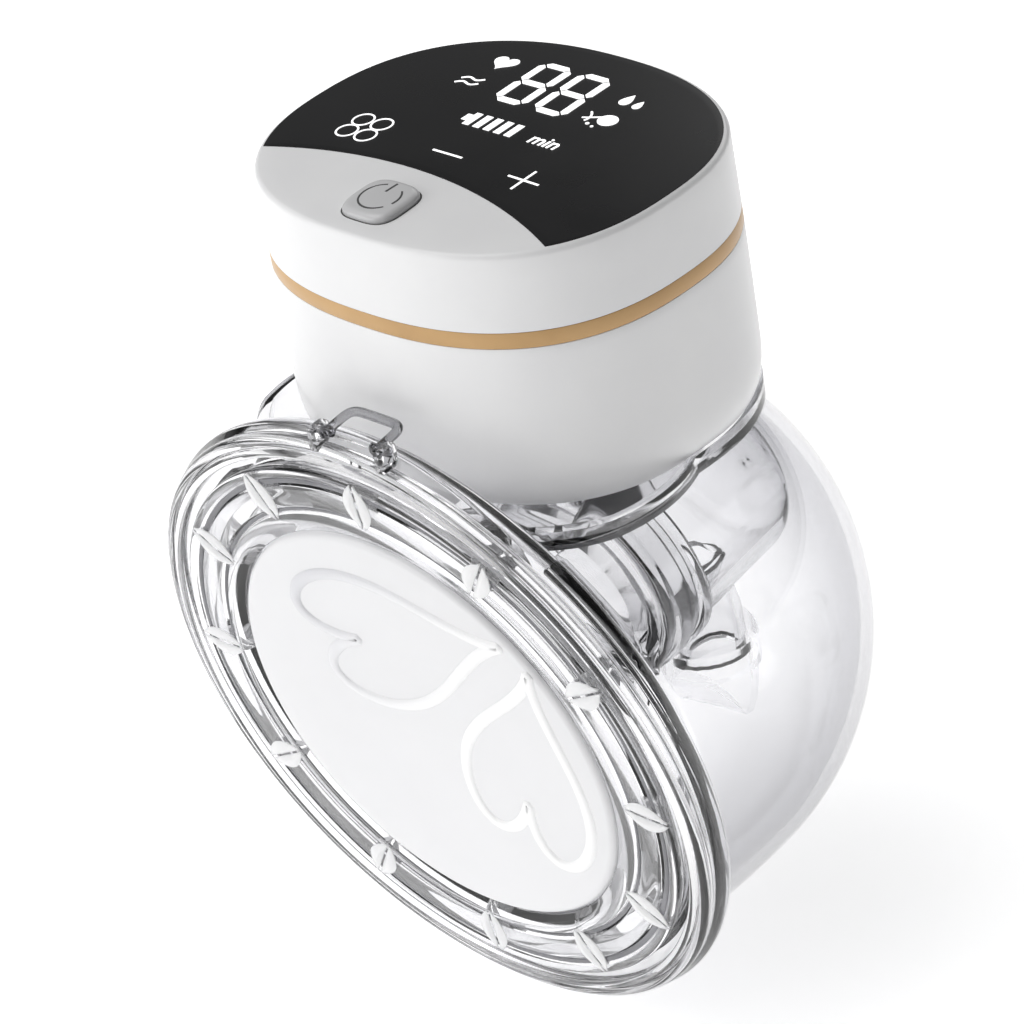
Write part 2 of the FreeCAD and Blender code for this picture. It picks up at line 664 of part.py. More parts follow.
def make_power_button():
    """Rounded square key; two ears under the shell keep it in."""
    across = size("button_x")
    along = size("button_y")
    foot = size("button_foot")
    reach = size("button_half") + 1
    cap = rounded_square(size("button_half"), size("button_corner"), foot, 142, across, along)
    cap = cap.common(crown_solid(-size("button_rise")))
    ears = cuboid((across - reach, along - 4, foot), (across + reach, along + 4, foot + 0.9))
    symbol = power_symbol(across, along)
    feature("power_button", cap.fuse(ears).cut(symbol))


def power_symbol(across, along):
    """Shallow engraved ring with a gap and a bar on top of the key."""
    radius = 2.3
    line = 0.55
    ring = cylinder(radius + line / 2, 120, 145, across, along)
    ring = ring.cut(cylinder(radius - line / 2, 120, 145, across, along))
    gap = cuboid((across - 1, along, 120), (across + 1, along + 4, 145))
    bar = cuboid((across - line / 2, along + 0.6, 120), (across + line / 2, along + 3.1, 145))
    return ring.cut(gap).fuse(bar).cut(crown_solid(-size("button_rise") + 0.35))


# ---------------------------------------------------------------- pump unit: electronics

def make_electronics():
    board = size("board_bottom")
    thick = size("board_thick")
    top = board + thick
    plate = prism(3.3, board, top)
    holes = [cylinder(1.15, board - 1, top + 1, across, along) for across, along in POST_PLACES]
    feature("main_board", plate.cut(holes))
    block("led_display", "20", "11.5", "3.2", upright(0, 9, top), "0.8")
    block("power_switch_body", "3", "3", "3.3", upright(size("button_x"), size("button_y"), top), "0.4")
    contacts = [cylinder(1.8, top, top + 3.4, across, along) for across, along in ((-24.5, -3), (-6, -8), (12, -8))]
    feature("touch_key_contacts", Part.makeCompound(contacts))
    block("battery_cell", "18", "13.5", "8.1", upright(0, 0, board - 9.4), "1.5")
    block("battery_foam_pad", "16", "12", "1.1", upright(0, 0, board - 1.2), "1")
    make_usb_port(board)
    screws = []
    for across, along in POST_PLACES:
        shank = cylinder(0.88, top - 6.5, top, across, along)
        head = cylinder(1.9, top, top + 1.2, across, along)
        slot = cuboid((across - 1.3, along - 0.25, top + 0.7), (across + 1.3, along + 0.25, top + 2))
        screws.append(shank.fuse(head).cut(slot))
    feature("board_screws", Part.makeCompound(screws))


def make_usb_port(board):
    """Charging receptacle: a flat round-cornered sleeve with a tongue, in the wall that faces the dome's front."""
    back = 20.6
    front = size("unit_half_y") - 0.2
    body = Part.makeBox(9, front - back, 3.2, Vector(-4.5, back, board - 3.25))
    cavity = Part.makeBox(8.3, front - back - 1, 2.5, Vector(-4.15, back + 1.2, board - 2.9))
    for_fillet = [edge for edge in body.Edges if abs(edge.tangentAt(edge.FirstParameter).y) > 0.9]
    cavity_edges = [edge for edge in cavity.Edges if abs(edge.tangentAt(edge.FirstParameter).y) > 0.9]
    tongue = Part.makeBox(6.6, front - back - 2.2, 0.7, Vector(-3.3, back + 1, board - 2))
    sleeve = body.makeFillet(1.5, for_fillet).cut(cavity.makeFillet(1.2, cavity_edges)).fuse(tongue)
    feature("usb_c_port", sleeve)


# ---------------------------------------------------------------- pump unit: motor, pump head, valve and air way

def along_x(radius, start, end, along, level):
    return Part.makeCylinder(radius, end - start, Vector(start, along, level), Vector(1, 0, 0))


def make_motor():
    along = size("motor_y")
    level = size("motor_level")
    radius = size("motor_radius")
    back = size("motor_back")
    front = size("motor_front")
    can = along_x(radius, back, front, along, level)
    rims = [edge for edge in can.Edges if len(edge.Vertexes) == 1]
    can = can.makeFillet(1, rims)
    feature("pump_motor", can.cut(along_x(size("shaft_radius + shaft_fit"), back - 1, front + 1, along, level)))
    saddle = cuboid((back + 3, along - 7, size("unit_bottom + shell_wall") + 0.02), (front - 3, along + 7, level - 5))
    feature("motor_saddle", saddle.cut(along_x(radius + 0.02, back, front, along, level)))


def make_pump_head():
    """Crank case, rubber membrane and valve cap, one behind the other on the motor's axis."""
    along = size("motor_y")
    level = size("motor_level")
    half = size("head_half")
    start = size("motor_front") + 0.02
    middle = start + 6.6
    plate = middle + 1.2
    end = size("head_front")
    low = (along - half, level - half)
    high = (along + half, level + half)
    case = cuboid((start, *low), (middle, *high))
    hollow = along_x(half - 2, start + 1.2, middle + 1, along, level)
    shaft_way = along_x(size("shaft_radius + shaft_fit"), start - 1, start + 2, along, level)
    feature("crank_case", case.cut([hollow, shaft_way]))
    membrane = cuboid((middle + 0.02, low[0] + 0.6, low[1] + 0.6), (plate - 0.02, high[0] - 0.6, high[1] - 0.6))
    feature("pump_membrane", membrane)
    cap = cuboid((plate, *low), (end, *high))
    outlet_x = end - 4
    hose = size("hose_level")
    barb = size("hose_bore") - 0.05
    outlet = Part.makeCylinder(barb, 0.8, Vector(outlet_x, high[0], hose), Vector(0, 1, 0))
    inlet = along_x(barb, end - 0.5, end + 1.2, along + 4, hose + 3)
    feature("valve_cap", cap.fuse([outlet, inlet]))
    shaft = along_x(size("shaft_radius"), size("motor_back") + 0.5, start + 3.4, along, level)
    feature("motor_shaft", shaft)
    crank = along_x(size("crank_radius"), start + 1.6, start + 4.2, along, level)
    crank_pin = along_x(0.9, start + 4.1, middle - 0.4, along, level + 2.6)
    seat = along_x(size("shaft_radius") + 0.005, start, start + 3.4, along, level)
    feature("crank_disc", crank.fuse(crank_pin).cut(seat))


def make_release_valve():
    """Small solenoid that lets the vacuum go: a coil case, a spring and a plunger."""
    along = size("motor_y") + 4
    back = size("valve_back")
    front = size("valve_front")
    top = size("valve_top")
    low = size("unit_bottom + shell_wall") + 1.2
    across = (back + front) / 2
    radius = size("plunger_radius")
    case = cuboid((back, along - 6, low), (front, along + 6, top))
    bore = cylinder(radius + size("plunger_fit"), top - 7.5, top + 1, across, along)
    inlet = along_x(size("hose_bore") - 0.05, back - 1.2, back + 0.5, along, size("hose_level") + 3)
    feature("release_valve_case", case.cut(bore).fuse(inlet))
    stem = cylinder(radius, top - 6, top + 3, across, along)
    head = cylinder(radius + 2, top + 2.2, top + 3.2, across, along)
    feature("valve_plunger", stem.fuse(head))
    spring = tube("plunger_spring", "plunger_radius + 1.2", "plunger_radius + 0.4", 0.03, 2.16,
                  upright(across, along, top))
    return spring


def make_air_way():
    """Nozzle through the unit's floor, its gasket, and the two short silicone hoses."""
    bottom = size("unit_bottom")
    along = size("seat_y")
    radius = size("nozzle_radius")
    bore = size("nozzle_bore")
    hose = size("hose_level")
    floor = size("unit_bottom + shell_wall")
    barb = size("hose_bore") - 0.05
    stem = cylinder(radius, bottom - 2.2, hose + 2, 0, along)
    collar = cylinder(radius + 1.6, floor + 0.01, floor + 1.2, 0, along)
    side = along_x(barb, 0, radius + 2.4, along, hose)
    passage = cylinder(bore, bottom - 3, hose + 0.8, 0, along)
    feature("air_nozzle", stem.fuse([collar, side]).cut(passage))
    tube("nozzle_gasket", "nozzle_radius + 2.4", "nozzle_radius + 0.02", -1.2, -0.02, upright(0, along, bottom))
    make_air_hose(along, hose)
    start = size("head_front") + 0.02
    short = along_x(size("hose_radius"), start, size("valve_back") - 0.02, size("motor_y") + 4, hose + 3)
    way = along_x(size("hose_bore"), start - 1, size("valve_back") + 1, size("motor_y") + 4, hose + 3)
    feature("valve_hose", short.cut(way))


def make_air_hose(nozzle_y, level):
    """Hose that leaves the valve cap towards +Y and bends round to the nozzle's side barb."""
    start = Vector(size("head_front") - 4, size("motor_y + head_half") + 0.05, level)
    end = Vector(size("nozzle_radius") + 0.6, nozzle_y, level)
    bend = nozzle_y - start.y - 0.4
    bend_start = Vector(start.x, nozzle_y - bend, level)
    bend_end = Vector(start.x - bend, nozzle_y, level)
    middle = Vector(start.x - bend + bend * math.cos(math.pi / 4), nozzle_y - bend + bend * math.sin(math.pi / 4), level)
    path = Part.Wire([
        Part.makeLine(start, bend_start),
        Part.Arc(bend_start, middle, bend_end).toShape(),
        Part.makeLine(bend_end, end),
    ])
    walls = []
    for radius in (size("hose_radius"), size("hose_bore")):
        ring = Part.Wire(Part.makeCircle(radius, start, Vector(0, 1, 0)))
        walls.append(path.makePipeShell([ring], True, False))
    feature("air_hose", walls[0].cut(walls[1]))


# ---------------------------------------------------------------- build, check and write

def build():
    fill_sheet()
    make_collector_ring()
    make_collector_cup()
    make_cup_tray()
    make_breast_shield()
    make_shield_tunnel()
    make_linker()
    make_diaphragm()
    make_duckbill()
    make_dust_cover()
    make_snap_tabs()
    make_strap_loop()
    make_lower_shell()
    make_accent_band()
    make_upper_shell()
    make_display_panel()
    make_power_button()
    make_electronics()
    make_motor()
    make_pump_head()
    make_release_valve()
    make_air_way()
    document.recompute()


def check():
    """Stop if any object of the document failed or any sub-part is not a valid shape."""
    for item in document.Objects:
        bad = {"Invalid", "Error"} & set(item.State)
        assert not bad, f"{item.Label}: {item.State}"
    for item in sub_parts:
        shape = item.Shape
        assert not shape.isNull() and shape.isValid() and shape.Solids, item.Label
        box = shape.BoundBox
        print(f"{item.Label:22s} solids {len(shape.Solids):2d} volume {shape.Volume:9.1f} "
              f"x {box.XMin:7.2f} {box.XMax:7.2f}  y {box.YMin:7.2f} {box.YMax:7.2f}  z {box.ZMin:7.2f} {box.ZMax:7.2f}")


def write():
    os.makedirs("parts", exist_ok=True)
    for item in sub_parts:
        item.Shape.exportStep(os.path.join("parts", item.Label + ".step"))


build()
check()
write()
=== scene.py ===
import json
import math
import bpy
from mathutils import Matrix, Vector


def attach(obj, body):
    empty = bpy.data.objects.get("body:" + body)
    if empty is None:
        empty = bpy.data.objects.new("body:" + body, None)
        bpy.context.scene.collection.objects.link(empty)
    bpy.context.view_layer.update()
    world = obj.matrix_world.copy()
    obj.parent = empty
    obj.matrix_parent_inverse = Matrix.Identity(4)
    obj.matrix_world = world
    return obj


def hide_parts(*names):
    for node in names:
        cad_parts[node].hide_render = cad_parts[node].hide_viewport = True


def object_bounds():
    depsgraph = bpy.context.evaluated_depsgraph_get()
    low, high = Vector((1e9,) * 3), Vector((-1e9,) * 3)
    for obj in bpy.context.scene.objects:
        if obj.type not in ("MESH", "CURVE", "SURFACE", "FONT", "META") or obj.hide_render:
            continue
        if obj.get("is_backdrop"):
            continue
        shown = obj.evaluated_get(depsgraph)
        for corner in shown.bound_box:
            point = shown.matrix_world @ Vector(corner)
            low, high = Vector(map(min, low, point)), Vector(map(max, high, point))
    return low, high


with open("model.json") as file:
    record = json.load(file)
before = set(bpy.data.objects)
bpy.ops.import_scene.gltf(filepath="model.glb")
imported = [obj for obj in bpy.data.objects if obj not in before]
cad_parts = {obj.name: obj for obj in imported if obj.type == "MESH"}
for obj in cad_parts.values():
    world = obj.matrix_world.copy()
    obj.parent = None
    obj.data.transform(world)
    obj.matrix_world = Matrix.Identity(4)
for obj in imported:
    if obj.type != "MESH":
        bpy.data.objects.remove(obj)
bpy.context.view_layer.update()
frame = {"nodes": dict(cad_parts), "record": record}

MM = 0.001
record = frame["record"]
nodes = frame["nodes"]

# Flange frame: origin on the cover's axis in the plane of the ring's ledge, local Z out towards the wearer
tunnel = [mount for mount in record["mounts"] if mount["name"] == "shield_tunnel"][0]
flange_out = Vector(tunnel["axis"])
flange_up = Vector((1, 0, 0)).cross(flange_out) * -1
flange_origin = Vector(tunnel["pos_m"]) + flange_out * 33 * MM
FLANGE = Matrix.Translation(flange_origin) @ Matrix((
    (1, flange_up.x, flange_out.x), (0, flange_up.y, flange_out.y), (0, flange_up.z, flange_out.z))).to_4x4()

# Pump unit: half sizes of its oval, and the heights of its edges, in millimetres
HALF_X, HALF_Y, POWER = 35.0, 29.7, 2.4
BOTTOM, BAND_LOW, BAND_HIGH, RIM = 91.6, 118.8, 121.4, 133.9
CROWN_X, CROWN_Y, CROWN_Z, CROWN_BASE = 100.0, 84.86, 15.81, 119.09
CRESCENT_X, CRESCENT_Y, CRESCENT_R = -5.0, -91.9, 80.0
PANEL_INSET = 0.8
BUTTON_X, BUTTON_Y, BUTTON_HALF = -1.2, -21.4, 4.9
RIM_ROUND = 0.9
BOTTOM_ROUND = 7.4
PORT_LOW, PORT_HIGH = 121.75, 125.35

# The height of the cover's hearts, and the tray's size against the CAD tray's, shrunk about its base
HEART_HEIGHT = 3.27
TRAY_SCALE = (0.93, 0.93, 0.55)
TRAY_BASE = 89.5

# ---------------------------------------------------------------- modelling helpers


def clear():
    if bpy.context.object and bpy.context.object.mode != "OBJECT":
        bpy.ops.object.mode_set(mode="OBJECT")
    bpy.ops.object.select_all(action="DESELECT")


def choose(piece):
    clear()
    piece.select_set(True)
    bpy.context.view_layer.objects.active = piece


def arc(centre, radius, start, end, steps):
    """Points on a round corner, as (radius, height) pairs; angles in degrees."""
    points = []
    for step in range(steps + 1):
        angle = math.radians(start + (end - start) * step / steps)
        points.append((centre[0] + radius * math.cos(angle), centre[1] + radius * math.sin(angle)))
    return points


def loft(name, levels, count=128, power=2.0):
    """Rings (half x, half y, centre x, centre y, height), each extruded from the last one."""
    clear()
    half_x, half_y, x, y, z = levels[0]
    bpy.ops.mesh.primitive_circle_add(vertices=count, radius=1, location=(0, 0, 0))
    piece = bpy.context.active_object
    piece.name = name
    for vertex in piece.data.vertices:
        turn = math.atan2(vertex.co.y, vertex.co.x)
        reach = (abs(math.cos(turn) / half_x) ** power + abs(math.sin(turn) / half_y) ** power) ** (-1 / power)
        vertex.co = (reach * math.cos(turn) * MM + x * MM, reach * math.sin(turn) * MM + y * MM, z * MM)
    bpy.ops.object.mode_set(mode="EDIT")
    bpy.ops.mesh.select_all(action="SELECT")
    for wide, deep, across, along, height in levels[1:]:
        move = ((across - x) * MM, (along - y) * MM, (height - z) * MM)
        bpy.ops.mesh.extrude_region_move(TRANSFORM_OT_translate={"value": move})
        bpy.ops.transform.resize(value=(wide / half_x, deep / half_y, 1),
                                 center_override=(across * MM, along * MM, height * MM))
        half_x, half_y, x, y, z = wide, deep, across, along, height
    bpy.ops.mesh.select_all(action="SELECT")
    bpy.ops.mesh.remove_doubles(threshold=2e-6)
    bpy.ops.mesh.normals_make_consistent(inside=False)
    bpy.ops.object.mode_set(mode="OBJECT")
    return piece


def turn(name, profile, count=144, closed=True):
    """Solid turned about local Z from (radius, height) corners; a closed profile ends where it starts."""
    corners = list(profile) + [profile[0]] if closed else list(profile)
    levels = [(max(radius, 0.001), max(radius, 0.001), 0, 0, height) for radius, height in corners]
    return loft(name, levels, count)


def place(piece, matrix):
    """Put a piece's shape where it belongs; its object stays at the origin."""
    choose(piece)
    piece.matrix_world = matrix @ piece.matrix_world
    bpy.ops.object.transform_apply(location=True, rotation=True, scale=True)
    return piece


def soften(piece, width, angle=35, segments=2, smooth=40):
    """Small rounding on every edge sharper than the angle, then smooth shading."""
    choose(piece)
    if width:
        bevel = piece.modifiers.new("edge", "BEVEL")
        bevel.width = width * MM
        bevel.segments = segments
        bevel.limit_method = "ANGLE"
        bevel.angle_limit = math.radians(angle)
        bevel.harden_normals = False
        bpy.ops.object.modifier_apply(modifier="edge")
    bpy.ops.object.shade_smooth_by_angle(angle=math.radians(smooth))
    return piece


def thicken(piece, thickness, offset=-1):
    choose(piece)
    wall = piece.modifiers.new("wall", "SOLIDIFY")
    wall.thickness = thickness * MM
    wall.offset = offset
    bpy.ops.object.modifier_apply(modifier="wall")
    return piece


def box(name, size, centre, matrix=None, corner=0.0, segments=3):
    """Rounded block from its sizes and centre in millimetres."""
    clear()
    bpy.ops.mesh.primitive_cube_add(size=MM, location=[value * MM for value in centre])
    piece = bpy.context.active_object
    piece.name = name
    piece.scale = size
    bpy.ops.object.transform_apply(location=True, rotation=True, scale=True)
    if corner:
        soften(piece, corner, segments=segments)
    return place(piece, matrix) if matrix else piece


def together(name, pieces):
    """Join pieces into one object."""
    clear()
    for piece in pieces:
        piece.select_set(True)
    bpy.context.view_layer.objects.active = pieces[0]
    bpy.ops.object.join()
    pieces[0].name = name
    return pieces[0]


def finish(piece, body, material, slot, *replaced):
    piece.data.materials.clear()
    piece.data.materials.append(material)
    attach(piece, body)
    if replaced:
        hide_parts(*replaced)
    return piece


def strip(name, points, width, height, closed=False, smooth=True, lift=None, matrix=None):
    """Flat rounded bead along points (x, y) in millimetres; lift gives the height at a place."""
    curve = bpy.data.curves.new(name, "CURVE")
    curve.dimensions = "3D"
    curve.resolution_u = 10
    curve.bevel_depth = width / 2 * MM
    curve.bevel_resolution = 3
    curve.use_fill_caps = True
    spline = curve.splines.new("NURBS" if smooth else "POLY")
    spline.points.add(len(points) - 1)
    for point, (x, y) in zip(spline.points, points):
        point.co = (x * MM, y * MM, 0, 1)
    spline.use_cyclic_u = closed
    if smooth:
        spline.order_u = 4
        spline.use_endpoint_u = not closed
    piece = bpy.data.objects.new(name, curve)
    bpy.context.scene.collection.objects.link(piece)
    choose(piece)
    bpy.ops.object.convert(target="MESH")
    piece = bpy.context.active_object
    for vertex in piece.data.vertices:
        base = lift(vertex.co.x / MM, vertex.co.y / MM) if lift else 0
        vertex.co.z = vertex.co.z * height / width + base * MM
    soften(piece, 0, smooth=50)
    return place(piece, matrix) if matrix else piece


def crown(x, y):
    """Height of the pump unit's domed top."""
    return CROWN_BASE + CROWN_Z * math.sqrt(max(0.0, 1 - (x / CROWN_X) ** 2 - (y / CROWN_Y) ** 2))


def side_offset(height):
    """How far the unit's wall stands out from its oval at a height."""
    bulge = 0.1 * (1 - min(((height - 117) / 17) ** 2, 1.3))
    rise = height - BOTTOM
    if rise < BOTTOM_ROUND:
        share = 1 - rise / BOTTOM_ROUND
        bulge -= 2.6 * (1 - math.sqrt(1 - share ** 2))
    return bulge


# ---------------------------------------------------------------- materials


def new_material(name):
    material = bpy.data.materials.new(name)
    material.use_nodes = True
    tree = material.node_tree
    shader = [node for node in tree.nodes if node.type == "BSDF_PRINCIPLED"][0]
    return material, tree, shader


def grain(tree, shader, scale, strength, distance, detail=3.0):
    """Fine surface grain, or flow lines at a large scale, as bump."""
    place_node = tree.nodes.new("ShaderNodeTexCoord")
    noise = tree.nodes.new("ShaderNodeTexNoise")
    noise.inputs["Scale"].default_value = scale
    noise.inputs["Detail"].default_value = detail
    bump = tree.nodes.new("ShaderNodeBump")
    bump.inputs["Strength"].default_value = strength
    bump.inputs["Distance"].default_value = distance
    tree.links.new(place_node.outputs["Object"], noise.inputs["Vector"])
    tree.links.new(noise.outputs["Fac"], bump.inputs["Height"])
    tree.links.new(bump.outputs["Normal"], shader.inputs["Normal"])
    return place_node


def vary(tree, source, target, low, high, start=0.3, end=0.7):
    """Map a pattern's value to a colour or roughness range."""
    kind = "ShaderNodeMapRange" if isinstance(low, float) else "ShaderNodeValToRGB"
    ramp = tree.nodes.new(kind)
    if isinstance(low, float):
        ramp.inputs["From Min"].default_value = start
        ramp.inputs["From Max"].default_value = end
        ramp.inputs["To Min"].default_value = low
        ramp.inputs["To Max"].default_value = high
        tree.links.new(source, ramp.inputs["Value"])
        tree.links.new(ramp.outputs["Result"], target)
    else:
        ramp.color_ramp.elements[0].position = start
        ramp.color_ramp.elements[0].color = (*low, 1)
        ramp.color_ramp.elements[1].position = end
        ramp.color_ramp.elements[1].color = (*high, 1)
        tree.links.new(source, ramp.inputs["Fac"])
        tree.links.new(ramp.outputs["Color"], target)


def moulded(name, dark, light, rough=(0.3, 0.36), grain_scale=2500.0, strength=0.06, coat=0.0, spread=60.0,
            metal=0.0):
    """Moulded plastic or metal: two close tones in soft clouds, fine grain, slightly uneven gloss."""
    material, tree, shader = new_material(name)
    place_node = grain(tree, shader, grain_scale, strength, 0.00004)
    clouds = tree.nodes.new("ShaderNodeTexNoise")
    clouds.inputs["Scale"].default_value = spread
    clouds.inputs["Detail"].default_value = 4
    tree.links.new(place_node.outputs["Object"], clouds.inputs["Vector"])
    vary(tree, clouds.outputs["Fac"], shader.inputs["Base Color"], dark, light)
    vary(tree, clouds.outputs["Fac"], shader.inputs["Roughness"], float(rough[0]), float(rough[1]))
    shader.inputs["Metallic"].default_value = metal
    shader.inputs["Coat Weight"].default_value = coat
    shader.inputs["Coat Roughness"].default_value = 0.08
    return material


def clear_plastic(name, face, edge, ior=1.45, rough=0.02, flow=25.0, strength=0.12, blend=0.35):
    """Clear moulding: painted edge shade, a base colour that darkens at grazing angles in place of the dark
    reflections along a clear moulding's edges; faint flow lines, light let through in shadows.
    """
    material, tree, shader = new_material(name)
    place_node = grain(tree, shader, flow, strength, 0.0006, 2.0)
    # Painted shade: the base colour runs from the face colour to the darker edge colour as the surface turns away
    # from view
    facing = tree.nodes.new("ShaderNodeLayerWeight")
    facing.inputs["Blend"].default_value = blend
    vary(tree, facing.outputs["Facing"], shader.inputs["Base Color"], face, edge, 0.15, 0.95)
    haze = tree.nodes.new("ShaderNodeTexNoise")
    haze.inputs["Scale"].default_value = 300
    tree.links.new(place_node.outputs["Object"], haze.inputs["Vector"])
    vary(tree, haze.outputs["Fac"], shader.inputs["Roughness"], float(rough) * 0.5, float(rough) * 1.5)
    shader.inputs["Transmission Weight"].default_value = 1.0
    shader.inputs["IOR"].default_value = ior
    through = tree.nodes.new("ShaderNodeBsdfTransparent")
    through.inputs["Color"].default_value = (0.93, 0.93, 0.94, 1)
    path = tree.nodes.new("ShaderNodeLightPath")
    mix = tree.nodes.new("ShaderNodeMixShader")
    output = [node for node in tree.nodes if node.type == "OUTPUT_MATERIAL"][0]
    tree.links.new(path.outputs["Is Shadow Ray"], mix.inputs["Fac"])
    tree.links.new(shader.outputs["BSDF"], mix.inputs[1])
    tree.links.new(through.outputs["BSDF"], mix.inputs[2])
    tree.links.new(mix.outputs["Shader"], output.inputs["Surface"])
    return material


def veiled(name, dark, light, cover, rough=0.3, grain_scale=900.0, spread=35.0, strength=0.05):
    """Milky or frosted plastic: a pale body that lets a share of the light straight through."""
    material = moulded(name, dark, light, (rough, rough + 0.06), grain_scale, strength, 0.25, spread)
    tree = material.node_tree
    shader = [node for node in tree.nodes if node.type == "BSDF_PRINCIPLED"][0]
    through = tree.nodes.new("ShaderNodeBsdfTransparent")
    mix = tree.nodes.new("ShaderNodeMixShader")
    mix.inputs["Fac"].default_value = cover
    output = [node for node in tree.nodes if node.type == "OUTPUT_MATERIAL"][0]
    tree.links.new(through.outputs["BSDF"], mix.inputs[1])
    tree.links.new(shader.outputs["BSDF"], mix.inputs[2])
    tree.links.new(mix.outputs["Shader"], output.inputs["Surface"])
    return material


clear_ring = clear_plastic("clear_ring_plastic", (0.985, 0.985, 0.99), (0.74, 0.74, 0.77), strength=0.3,
                           flow=60.0)
clear_dome = clear_plastic("clear_dome_plastic", (0.955, 0.955, 0.963), (0.36, 0.36, 0.39), strength=0.08,
                           flow=18.0, blend=0.5)
clear_tray = clear_plastic("clear_tray_plastic", (0.90, 0.90, 0.91), (0.50, 0.50, 0.52), rough=0.04)
clear_duct = clear_plastic("clear_duct_plastic", (0.975, 0.975, 0.98), (0.62, 0.62, 0.65))
soft_silicone = clear_plastic("clear_silicone", (0.975, 0.975, 0.98), (0.66, 0.66, 0.69), ior=1.38,
                              rough=0.06)
faint_silicone = clear_plastic("faint_silicone", (0.99, 0.99, 0.99), (0.88, 0.88, 0.90), ior=1.08, rough=0.03)
smoky = clear_plastic("smoky_loop_plastic", (0.50, 0.50, 0.52), (0.05, 0.05, 0.055), rough=0.03, blend=0.5)
# Painted shade: dark grey for the rings that stand in for the shade and dark reflections in the cover's grooves
groove_shade_grey = veiled("groove_shade_grey", (0.10, 0.10, 0.11), (0.24, 0.24, 0.26), 0.8, 0.2, spread=90.0)
milky = veiled("milky_cover_plastic", (0.85, 0.85, 0.862), (0.90, 0.90, 0.91), 0.9, 0.28, spread=22.0)
frosted = veiled("frosted_tab_plastic", (0.93, 0.93, 0.94), (0.98, 0.98, 0.98), 0.86, 0.4, spread=200.0)
heart_white = veiled("heart_bead_plastic", (0.88, 0.88, 0.91), (1.0, 1.0, 1.0), 0.96, 0.3, spread=14.0)
# Painted shade and highlight: the hearts' colour runs from grey at the upper left to white at the lower right across
# the cover, standing in for how the light falls on the raised beads
heart_tree = heart_white.node_tree
heart_shader = [node for node in heart_tree.nodes if node.type == "BSDF_PRINCIPLED"][0]
heart_place = heart_tree.nodes.new("ShaderNodeTexCoord")
across = heart_tree.nodes.new("ShaderNodeVectorMath")
across.operation = "DOT_PRODUCT"
across.inputs[1].default_value = (12, 0, -10)
heart_tree.links.new(heart_place.outputs["Object"], across.inputs[0])
heart_painted_shade = heart_tree.nodes.new("ShaderNodeMapRange")
heart_painted_shade.inputs["From Min"].default_value = -1.05
heart_painted_shade.inputs["From Max"].default_value = -0.35
heart_tree.links.new(across.outputs["Value"], heart_painted_shade.inputs["Value"])
for link in list(heart_shader.inputs["Base Color"].links):
    heart_tree.links.remove(link)
vary(heart_tree, heart_painted_shade.outputs["Result"], heart_shader.inputs["Base Color"], (0.70, 0.70, 0.73),
     (1.0, 1.0, 1.0), 0.1, 0.85)

white_body = moulded("white_housing_plastic", (0.86, 0.86, 0.865), (0.90, 0.90, 0.90), (0.30, 0.36),
                     1800.0, 0.05, 0.15)
gold = moulded("gold_trim", (0.56, 0.33, 0.125), (0.64, 0.39, 0.16), (0.34, 0.42), 3000.0, 0.10, 0.1, 90.0)
black_gloss = moulded("black_panel_gloss", (0.010, 0.010, 0.0105), (0.014, 0.014, 0.0145), (0.26, 0.32),
                      1200.0, 0.02)
black_gloss.node_tree.nodes["Principled BSDF"].inputs["Specular IOR Level"].default_value = 0.12
button_grey = moulded("power_button_grey", (0.60, 0.60, 0.605), (0.65, 0.65, 0.655), (0.28, 0.34), 2200.0,
                      0.08, 0.3)
# Dark engraving for the power symbol, also used for the painted gap shade ring around the button
engraving_and_gap_shade = moulded("dark_engraving_and_gap_shade", (0.05, 0.05, 0.05), (0.08, 0.08, 0.08), (0.5, 0.6))
white_silicone = veiled("white_silicone", (0.90, 0.90, 0.89), (0.95, 0.95, 0.94), 0.8, 0.4, 700.0, 40.0)

lit = moulded("display_white", (0.85, 0.85, 0.85), (0.95, 0.95, 0.95), (0.4, 0.5), 3000.0, 0.02, 0.0, 300.0)
lit_shader = [node for node in lit.node_tree.nodes if node.type == "BSDF_PRINCIPLED"][0]
lit_shader.inputs["Emission Color"].default_value = (1, 1, 1, 1)
lit_shader.inputs["Emission Strength"].default_value = 0.9

